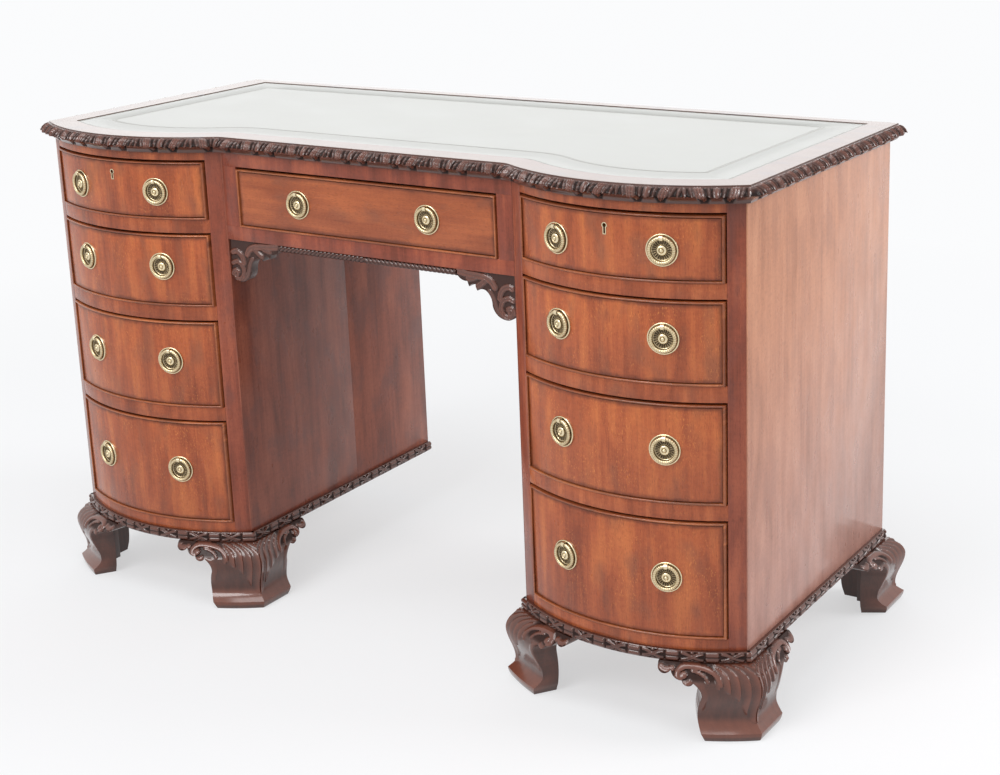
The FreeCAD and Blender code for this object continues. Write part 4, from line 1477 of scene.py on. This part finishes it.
def fade(tree, value, start, end, low=0.0, high=1.0):
    """Level that goes from low to high while a value goes from start to end."""
    return ramp(tree, value, [(start, grey(low)), (end, grey(high))])


def mixed(tree, share, first, second):
    return add(tree, "ShaderNodeMix", {0: share, 6: first, 7: second}, data_type="RGBA").outputs[2]


def changed(shade, shares):
    """A colour with each of its levels changed by a share."""
    return (*(min(1.0, share * level) for share, level in zip(shares, shade)), 1.0)


def new_material(name, **shader):
    """Material with a main shader whose plain values are set on its own sockets."""
    material = bpy.data.materials.new(name)
    material.use_nodes = True
    tree = material.node_tree
    main = next(item for item in tree.nodes if item.type == "BSDF_PRINCIPLED")
    for key, value in shader.items():
        main.inputs[key.replace("_", " ")].default_value = value
    return material, tree, main


def field(tree, name, output="Fac"):
    return add(tree, "ShaderNodeAttribute", attribute_name=name).outputs[output]


def paint(tree, main, colour, roughness):
    tree.links.new(colour, main.inputs["Base Color"])
    tree.links.new(roughness, main.inputs["Roughness"])


def bump(tree, main, height, distance, strength):
    """Uneven surface with heights of up to a distance in millimetres."""
    made = add(tree, "ShaderNodeBump", {"Height": height, "Distance": distance * mm, "Strength": strength})
    tree.links.new(made.outputs["Normal"], main.inputs["Normal"])


def object_place(tree):
    """Place on an object, in metres."""
    return add(tree, "ShaderNodeTexCoord").outputs["Object"]


def in_millimetres(tree, place):
    return add(tree, "ShaderNodeVectorMath", {0: place, "Scale": 1 / mm}, operation="SCALE").outputs[0]


def grain_vector(tree, axes):
    """Place in the plank, in millimetres: a mesh's own field, or an object's axes in a given order."""
    if axes is None:
        return field(tree, "grain", "Vector")
    parts = add(tree, "ShaderNodeSeparateXYZ", {0: object_place(tree)}).outputs
    picked = {index: parts[axis] for index, axis in enumerate(axes)}
    return in_millimetres(tree, add(tree, "ShaderNodeCombineXYZ", picked).outputs[0])


def edge_nearness(tree):
    """Distance from the edge of a drawer front, in millimetres."""
    place = add(tree, "ShaderNodeVectorMath", {0: field(tree, "face_place", "Vector")}, operation="ABSOLUTE")
    rest = vectors(tree, "SUBTRACT", (1.0, 1.0, 1.0), place.outputs[0])
    gap = vectors(tree, "MULTIPLY", rest, field(tree, "face_size", "Vector"))
    parts = add(tree, "ShaderNodeSeparateXYZ", {0: gap}).outputs
    return sums(tree, "MINIMUM", parts[0], parts[1])


# Figure of the wood: sizes across, through and along the grain, and shares in the colour
patch_size = (34.0, 30.0, 150.0)
ribbon_size = (9.0, 9.0, 420.0)
streak_size = (2.3, 2.3, 170.0)
fibre_size = (0.7, 0.7, 16.0)
mottle_size = (9.0, 9.0, 4.0)
cloud_size = (30.0, 26.0, 64.0)
pore_size = (0.55, 0.55, 7.0)
fleck_size = (1.6, 1.6, 3.6)
fleck_zone_size = (50.0, 50.0, 60.0)
# Noise size, wander and reach of the painted shade and old polish along the edges of drawer fronts
edge_shade_and_polish_size = (16.0, 16.0, 40.0)
wear_size = (30.0, 30.0, 60.0)
edge_shade_and_polish_wander = 9.0
edge_shade_and_polish_reach = 10.0
wood_bump = 0.1
patch_share = 0.50
streak_share = 0.10
fibre_share = 0.08
mottle_share = 0.10
shade_spread_share = 0.12
dark_shares = (0.35, 0.35, 0.35)
fleck_shares = (1.35, 1.75, 1.5)
# Heights over the floor between which the painted shade and painted reflection of a wood change, in metres
painted_shade_heights = (0.14, 0.60)


def with_height_shade(tree, colour, painted_shade_tints):
    """Colour times a tint that changes with the height over the floor: painted shade and painted reflection,
    darker and cooler low down.
    """
    rise = add(tree, "ShaderNodeSeparateXYZ", {0: object_place(tree)}).outputs[2]
    return vectors(tree, "MULTIPLY", colour, ramp(tree, rise, list(zip(painted_shade_heights, painted_shade_tints))))


def flecked(tree, place, colour, shade, amount):
    """Colour with bright flecks that gather in zones."""
    spots = fade(tree, noise(tree, place, fleck_size), 0.58, 0.72)
    zone = fade(tree, noise(tree, place, fleck_zone_size), 0.45, 0.62, low=0.1)
    share = times(tree, times(tree, spots, zone), amount)
    return mixed(tree, share, colour, changed(shade, fleck_shares))


def edge_darkened(tree, place, colour, dark, amount):
    """Colour that turns dark along the edges of a drawer front, with a ragged border: painted shade next to
    the bead, together with old polish.
    """
    wander = times(tree, noise(tree, place, edge_shade_and_polish_size, 3.0), edge_shade_and_polish_wander)
    ragged = times(tree, sums(tree, "SUBTRACT", edge_nearness(tree), wander), 1 / edge_shade_and_polish_reach)
    darkening = fade(tree, ragged, 0.0, 0.5, 1.0, 0.0)
    return mixed(tree, times(tree, darkening, amount), colour, dark)


def wood(name, shades, ribbon, axes=None, rough=(0.26, 0.40), coat=0.3, edge_dark=0.0, fleck=0.0, pores=0.45,
         dulling=(0.62, 0.85, 1.25), painted_shade_tints=None):
    """Polished wood with broad patches, ribbons, fibre, pores and flecks along its grain."""
    material, tree, main = new_material(name, Coat_Weight=coat, Coat_Roughness=0.14, Coat_IOR=1.5,
                                        Specular_IOR_Level=0.25)
    place = grain_vector(tree, axes)
    bands = noise(tree, place, ribbon_size)
    fibre = noise(tree, place, fibre_size)
    figure = [(noise(tree, place, patch_size, 3.0, 0.5), patch_share), (bands, ribbon),
              (noise(tree, place, streak_size), streak_share), (fibre, fibre_share),
              (noise(tree, place, mottle_size), mottle_share)]
    middle = sum(share for _, share in figure) / 2
    stops = (middle - shade_spread_share, middle, middle + shade_spread_share)
    colour = ramp(tree, weighted(tree, figure), list(zip(stops, shades)))
    clouds = fade(tree, noise(tree, place, cloud_size, 3.0), 0.52, 0.70, high=0.6)
    colour = mixed(tree, clouds, colour, changed(shades[1], dulling))
    # Painted shade and painted reflection: darker and cooler towards the floor
    if painted_shade_tints:
        colour = with_height_shade(tree, colour, painted_shade_tints)
    pits = fade(tree, noise(tree, place, pore_size, 1.0), 0.60, 0.70)
    dark = changed(shades[0], dark_shares)
    colour = mixed(tree, times(tree, pits, pores), colour, dark)
    if fleck:
        colour = flecked(tree, place, colour, shades[2], fleck)
    if edge_dark:
        colour = edge_darkened(tree, place, colour, dark, edge_dark)
    paint(tree, main, colour, fade(tree, noise(tree, place, wear_size, 3.0), 0.35, 0.68, *rough))
    bump(tree, main, weighted(tree, [(fibre, 0.4), (pits, -0.5), (bands, 0.6)]), wood_bump, 0.35)
    return material


carving_wander_size = (9.0, 9.0, 30.0)
carving_fibre_size = (0.8, 0.8, 18.0)
carving_bump = 0.3
# Depth of carving over which its painted shade changes
carving_depth = 5.0


def carved_wood(name, shades):
    """Dark stained carving shaded by its depth: deep places painted nearly black as painted shade, crests
    painted lighter and warmer, partly rubbed wood and partly painted light, and shinier.
    """
    material, tree, main = new_material(name, Coat_Roughness=0.13, Coat_IOR=1.5, Specular_IOR_Level=0.1)
    place = field(tree, "grain", "Vector")
    wander = noise(tree, place, carving_wander_size, 3.0)
    fibre = noise(tree, place, carving_fibre_size)
    shifted = sums(tree, "ADD", times(tree, field(tree, "relief"), 1 / carving_depth), 0.5)
    height = ramp(tree, shifted, [(0.12, grey(0.0)), (0.46, grey(0.55)), (1.0, grey(0.85))])
    level = weighted(tree, [(height, 0.85), (wander, 0.25), (fibre, 0.15)])
    colour = ramp(tree, level, list(zip((0.17, 0.62, 1.0), shades)))
    paint(tree, main, colour, fade(tree, level, 0.3, 0.9, 0.50, 0.28))
    # Less coat in the deep places, which darkens them further as painted shade
    tree.links.new(fade(tree, height, 0.20, 0.56, low=0.15), main.inputs["Coat Weight"])
    bump(tree, main, weighted(tree, [(fibre, 0.4), (wander, 0.8)]), carving_bump, 0.2)
    return material


brass_spot_size = 1.6
brass_cloud_size = 6.0
brass_bump = 0.2


def aged_brass(name, shades):
    """Pale worn brass with dark tarnish in its hollows."""
    material, tree, main = new_material(name, Metallic=1.0)
    place = in_millimetres(tree, object_place(tree))
    spots = noise(tree, place, (brass_spot_size,) * 3, 3.0)
    cloud = noise(tree, place, (brass_cloud_size,) * 3)
    level = weighted(tree, [(field(tree, "darkening"), 0.75), (spots, 0.35), (cloud, 0.25)])
    colour = ramp(tree, level, list(zip((0.20, 0.52, 1.0), shades)))
    paint(tree, main, colour, fade(tree, level, 0.25, 0.9, 0.22, 0.55))
    bump(tree, main, spots, brass_bump, 0.35)
    return material


hide_size = 1.6
hide_cloud_size = (90.0, 60.0, 60.0)
hide_cells_per_mm = 0.75
hide_bump = 0.2
line_reach_share = 0.62
line_colour = (0.16, 0.15, 0.12, 1.0)


def tooled_leather(name, shades):
    """Pale grey-green hide with fine grain and faint tooled lines."""
    material, tree, main = new_material(name, Coat_Weight=0.35, Coat_Roughness=0.25, Coat_IOR=1.5)
    place = in_millimetres(tree, object_place(tree))
    hide = noise(tree, place, (hide_size,) * 3, 3.0)
    cells = add(tree, "ShaderNodeTexVoronoi", {"Vector": place, "Scale": hide_cells_per_mm})
    level = weighted(tree, [(noise(tree, place, hide_cloud_size, 4.0), 0.7), (hide, 0.3)])
    colour = ramp(tree, level, list(zip((0.32, 0.52, 0.70), shades)))
    inset = field(tree, "inset")
    for line, width in leather_lines:
        away = sums(tree, "ABSOLUTE", sums(tree, "SUBTRACT", inset, line), 0.0)
        near = sums(tree, "LESS_THAN", away, line_reach_share * width)
        colour = mixed(tree, times(tree, near, 0.75), colour, line_colour)
    paint(tree, main, colour, fade(tree, level, 0.3, 0.7, 0.34, 0.46))
    bump(tree, main, weighted(tree, [(cells.outputs["Distance"], 0.5), (hide, 0.5)]), hide_bump, 0.2)
    return material


# Drawer fronts: their tints paint shade towards the floor
front_wood = wood("mahogany_front", ((0.25, 0.054, 0.020), (0.42, 0.099, 0.033), (0.56, 0.158, 0.047)), 0.20,
                  edge_dark=0.65, fleck=0.5, painted_shade_tints=((0.88, 0.87, 0.93), (1.0, 1.0, 1.0)))
rail_wood = wood("mahogany_rail", ((0.22, 0.048, 0.018), (0.36, 0.084, 0.030), (0.50, 0.138, 0.048)), 0.26,
                 fleck=0.3)
frieze_wood = wood("mahogany_frieze", ((0.17, 0.037, 0.018), (0.27, 0.060, 0.031), (0.39, 0.097, 0.045)),
                   0.26)
stile_wood = wood("mahogany_stile", ((0.16, 0.036, 0.018), (0.27, 0.063, 0.032), (0.39, 0.101, 0.048)), 0.30)
# Outer sides: pale mahogany, partly sun-faded wood and partly painted reflection of the light at the right;
# their tints paint shade and reflection towards the floor
faded_and_lit_side_wood = wood("mahogany_side_faded_and_lit", ((0.43, 0.178, 0.108), (0.55, 0.237, 0.148), (0.63, 0.290, 0.185)), 0.27,
                 coat=0.42, dulling=(0.84, 0.85, 0.90), painted_shade_tints=((0.77, 0.83, 1.0), (1.0, 1.0, 0.89)))
# Inner sides of the kneehole: a darker copy of the side's mahogany, partly unfaded wood and partly painted
# shade
unfaded_and_shaded_wood = wood("mahogany_inner_unfaded_and_shaded", ((0.15, 0.039, 0.022), (0.24, 0.064, 0.035), (0.33, 0.098, 0.054)), 0.22)
centre_wood = wood("mahogany_centre", ((0.22, 0.051, 0.019), (0.33, 0.083, 0.031), (0.44, 0.120, 0.042)),
                   0.24, edge_dark=0.65, fleck=0.2)
bead_wood = wood("mahogany_bead", ((0.16, 0.038, 0.014), (0.31, 0.084, 0.028), (0.48, 0.150, 0.052)), 0.25,
                 coat=0.5)
top_wood = wood("mahogany_top", ((0.134, 0.078, 0.062), (0.146, 0.086, 0.069), (0.158, 0.095, 0.077)), 0.20,
                coat=0.43, rough=(0.30, 0.32), pores=0.05)
lining_wood = wood("oak_lining", ((0.35, 0.20, 0.105), (0.47, 0.30, 0.175), (0.57, 0.39, 0.245)), 0.22,
                   axes=(2, 0, 1), rough=(0.5, 0.62), coat=0.0, dulling=(0.82, 0.84, 0.88))
inside_wood = wood("pine_inside", ((0.25, 0.125, 0.067), (0.37, 0.195, 0.107), (0.46, 0.265, 0.153)), 0.22,
                   rough=(0.5, 0.65), coat=0.0, dulling=(0.80, 0.82, 0.86))
carving = carved_wood("mahogany_carving", ((0.012, 0.006, 0.005), (0.060, 0.021, 0.014),
                                           (0.19, 0.060, 0.036)))
brass = aged_brass("brass", ((0.86, 0.75, 0.52), (0.56, 0.44, 0.26), (0.075, 0.055, 0.036)))
leather = tooled_leather("leather", ((0.22, 0.230, 0.215), (0.26, 0.267, 0.250), (0.30, 0.305, 0.290)))


# The desk

def add_fixed(name, part, nodes, material):
    put_piece(name, make_mesh(name, part), "desk", nodes, material)


add_fixed("top_panel", top_board(), ["top_board"], top_wood)
add_fixed("leather_panel", writing_leather(), ["writing_leather"], leather)
add_fixed("carved_top_edge", top_edge(), ["top_edge_moulding"], carving)
add_fixed("frieze_boards", merged(frieze_boards()), ["frieze_frame"], frieze_wood)
add_fixed("frieze_rope", frieze_rope(), ["frieze_bead"], carving)

bracket = kneehole_bracket()
brackets = merged([bracket, flipped(bracket)])
add_fixed("scroll_brackets", brackets, ["kneehole_brackets"], carving)

wing_plan = sheet(wing_outline(wing_length, toe_length), wing_step)
side_wing_plan = sheet(wing_outline(side_wing_length, side_toe_length), wing_step)
front_foot_part = front_foot(wing_plan, side_wing_plan)
pedestal_feet = merged([front_foot_part, flipped(front_foot_part), rear_foot(side_wing_plan)])
base_strip = base_moulding()
for word, side in (("left", -1), ("right", 1)):
    case = [f"{word}_pedestal_case"]
    for label, parts, material in (("rails", case_rails(), rail_wood), ("stiles", case_stiles(), stile_wood),
                                   ("outer_side", case_outer_side(), faded_and_lit_side_wood),
                                   ("inner_side", case_inner_side(), unfaded_and_shaded_wood),
                                   ("inside", case_inside(), inside_wood)):
        add_fixed(f"{word}_pedestal_{label}", sided(merged(parts), side), case, material)
    for label, part, node in (("base_moulding", base_strip, "base_mouldings"),
                              ("feet", pedestal_feet, "bracket_feet")):
        add_fixed(f"{word}_{label}", sided(part, side), [node], carving)

plate_mesh = make_mesh("handle_plate", handle_plate())
ring_mesh = make_mesh("pull_ring", pull_ring())


def pull_places(name, side, bowed):
    """Place of each pull on a drawer front, from its packed ring."""
    places = []
    for word in ("left", "right"):
        low, high = node_box(f"{name}_{word}_ring")
        x = (low.x + high.x) / 2 - side * pedestal_x
        x /= 1 + ring_reach / bow_radius if bowed else 1
        z = (low.z + high.z) / 2
        y = float(bow_y(x)) if bowed else corner_y
        turn = math.asin(x / bow_radius) if bowed else 0.0
        spot = Vector((x + side * pedestal_x, y, z)) * mm
        places.append((word, Matrix.Translation(spot) @ Matrix.Rotation(turn, 4, "Z")))
    return places


for name, side, bowed in drawer_list():
    half, z_span = drawer_size(name)
    locked = f"{name}_lock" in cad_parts
    shift = np.array([side * pedestal_x, 0, 0])
    board = drawer_front(half, z_span, bowed, locked)
    bead = bead_frame(half, z_span, bowed)
    for label, (points, faces, fields), material in (("board", board, front_wood if bowed else centre_wood),
                                                     ("cock_bead", bead, bead_wood)):
        mesh = make_mesh(f"{name}_{label}", (points + shift, faces, fields))
        put_piece(f"{name}_{label}", mesh, name, [f"{name}_front"], material)
    for word, place in pull_places(name, side, bowed):
        put_piece(f"{name}_{word}_plate", plate_mesh, name, [f"{name}_handle_plates"], brass, place)
        put_piece(f"{name}_{word}_pull", ring_mesh, f"{name}_{word}_ring",
                  [f"{name}_{word}_ring"], brass, place)


def dress(node, material):
    """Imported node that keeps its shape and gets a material."""
    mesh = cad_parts[node].data
    mesh.materials.clear()
    mesh.materials.append(material)


for name, side, bowed in drawer_list():
    dress(f"{name}_box", lining_wood)
    if f"{name}_lock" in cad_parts:
        dress(f"{name}_lock", brass)
        dress(f"{name}_lock_bolt", brass)
dress("drawer_runners", lining_wood)


# Floor, light and camera, with lengths in metres

floor_half_size = 40.0
floor_colour = (0.83, 0.845, 0.865, 1.0)
glow_colour = (0.965, 0.97, 0.98, 1.0)
glow_unit = 10.0
soft_light = 0.43
desk_middle = (0.0, 0.0, 0.45)
# Light panels: name, place, width and height, and power
light_panels = (("back_panel", (-1.6, 3.4, 2.2), (5.0, 2.6), 42.0),
                ("right_panel", (3.1, 1.7, 2.1), (1.8, 1.4), 71.0),
                ("front_panel", (-0.4, -2.9, 2.7), (1.8, 1.3), 60.0),
                ("high_panel", (0.3, -1.0, 3.3), (2.0, 1.4), 36.0))
camera_place = (1.5682, -2.1552, 1.2044)
camera_angles = (74.705, 1.477, 31.265)
camera_lens = 63.12
camera_sensor = 36.0
camera_shift = (-0.0825, -0.0869)
camera_range = 200.0


def looked_at(tree):
    """1 for what the camera, a reflection or a clear body sees, and 0 for light on the object."""
    path = add(tree, "ShaderNodeLightPath").outputs
    seen = sums(tree, "MAXIMUM", path["Is Camera Ray"], path["Is Glossy Ray"])
    return sums(tree, "MAXIMUM", seen, path["Is Transmission Ray"])


def studio_floor():
    """Wide pale floor."""
    work = bmesh.new()
    bmesh.ops.create_grid(work, x_segments=8, y_segments=8, size=floor_half_size)
    mesh = bpy.data.meshes.new("floor")
    work.to_mesh(mesh)
    work.free()
    floor = put_object("floor", mesh)
    material, tree, main = new_material("floor", Base_Color=floor_colour, Roughness=0.9,
                                        Specular_IOR_Level=0.1)
    reach = add(tree, "ShaderNodeVectorMath", {0: object_place(tree)}, operation="LENGTH").outputs["Value"]
    far = fade(tree, times(tree, reach, 1 / glow_unit), 0.07, 0.26, low=0.58)
    glow = add(tree, "ShaderNodeEmission", {"Color": glow_colour, "Strength": 1.0})
    share = times(tree, far, looked_at(tree))
    both = add(tree, "ShaderNodeMixShader", {0: share, 1: main.outputs[0], 2: glow.outputs[0]})
    output = next(item for item in tree.nodes if item.type == "OUTPUT_MATERIAL")
    tree.links.new(both.outputs[0], output.inputs["Surface"])
    mesh.materials.append(material)


def panel_light(name, place, size, power):
    """Large soft panel that looks at the middle of the desk."""
    lamp = bpy.data.lights.new(name, "AREA")
    lamp.shape = "RECTANGLE"
    lamp.size, lamp.size_y = size
    lamp.energy = power
    light = put_object(name, lamp)
    light.location = place
    light.rotation_euler = (Vector(desk_middle) - Vector(place)).to_track_quat("-Z", "Y").to_euler()
    light.visible_camera = False


def white_world():
    """Even soft light, with a white background for what looks at it."""
    world = bpy.data.worlds.new("studio")
    bpy.context.scene.world = world
    world.use_nodes = True
    tree = world.node_tree
    tree.nodes.clear()
    soft = add(tree, "ShaderNodeBackground", {"Color": grey(1.0), "Strength": soft_light})
    white = add(tree, "ShaderNodeBackground", {"Color": grey(1.0), "Strength": 1.0})
    both = add(tree, "ShaderNodeMixShader", {0: looked_at(tree), 1: soft.outputs[0], 2: white.outputs[0]})
    add(tree, "ShaderNodeOutputWorld", {"Surface": both.outputs[0]})


def photo_camera():
    lens = bpy.data.cameras.new("camera")
    lens.sensor_width = camera_sensor
    lens.lens = camera_lens
    lens.shift_x, lens.shift_y = camera_shift
    lens.clip_end = camera_range
    camera = put_object("camera", lens)
    camera.location = camera_place
    camera.rotation_euler = [math.radians(angle) for angle in camera_angles]
    bpy.context.scene.camera = camera


studio_floor()
white_world()
for panel in light_panels:
    panel_light(*panel)
photo_camera()
bpy.context.scene.view_settings.view_transform = "Standard"
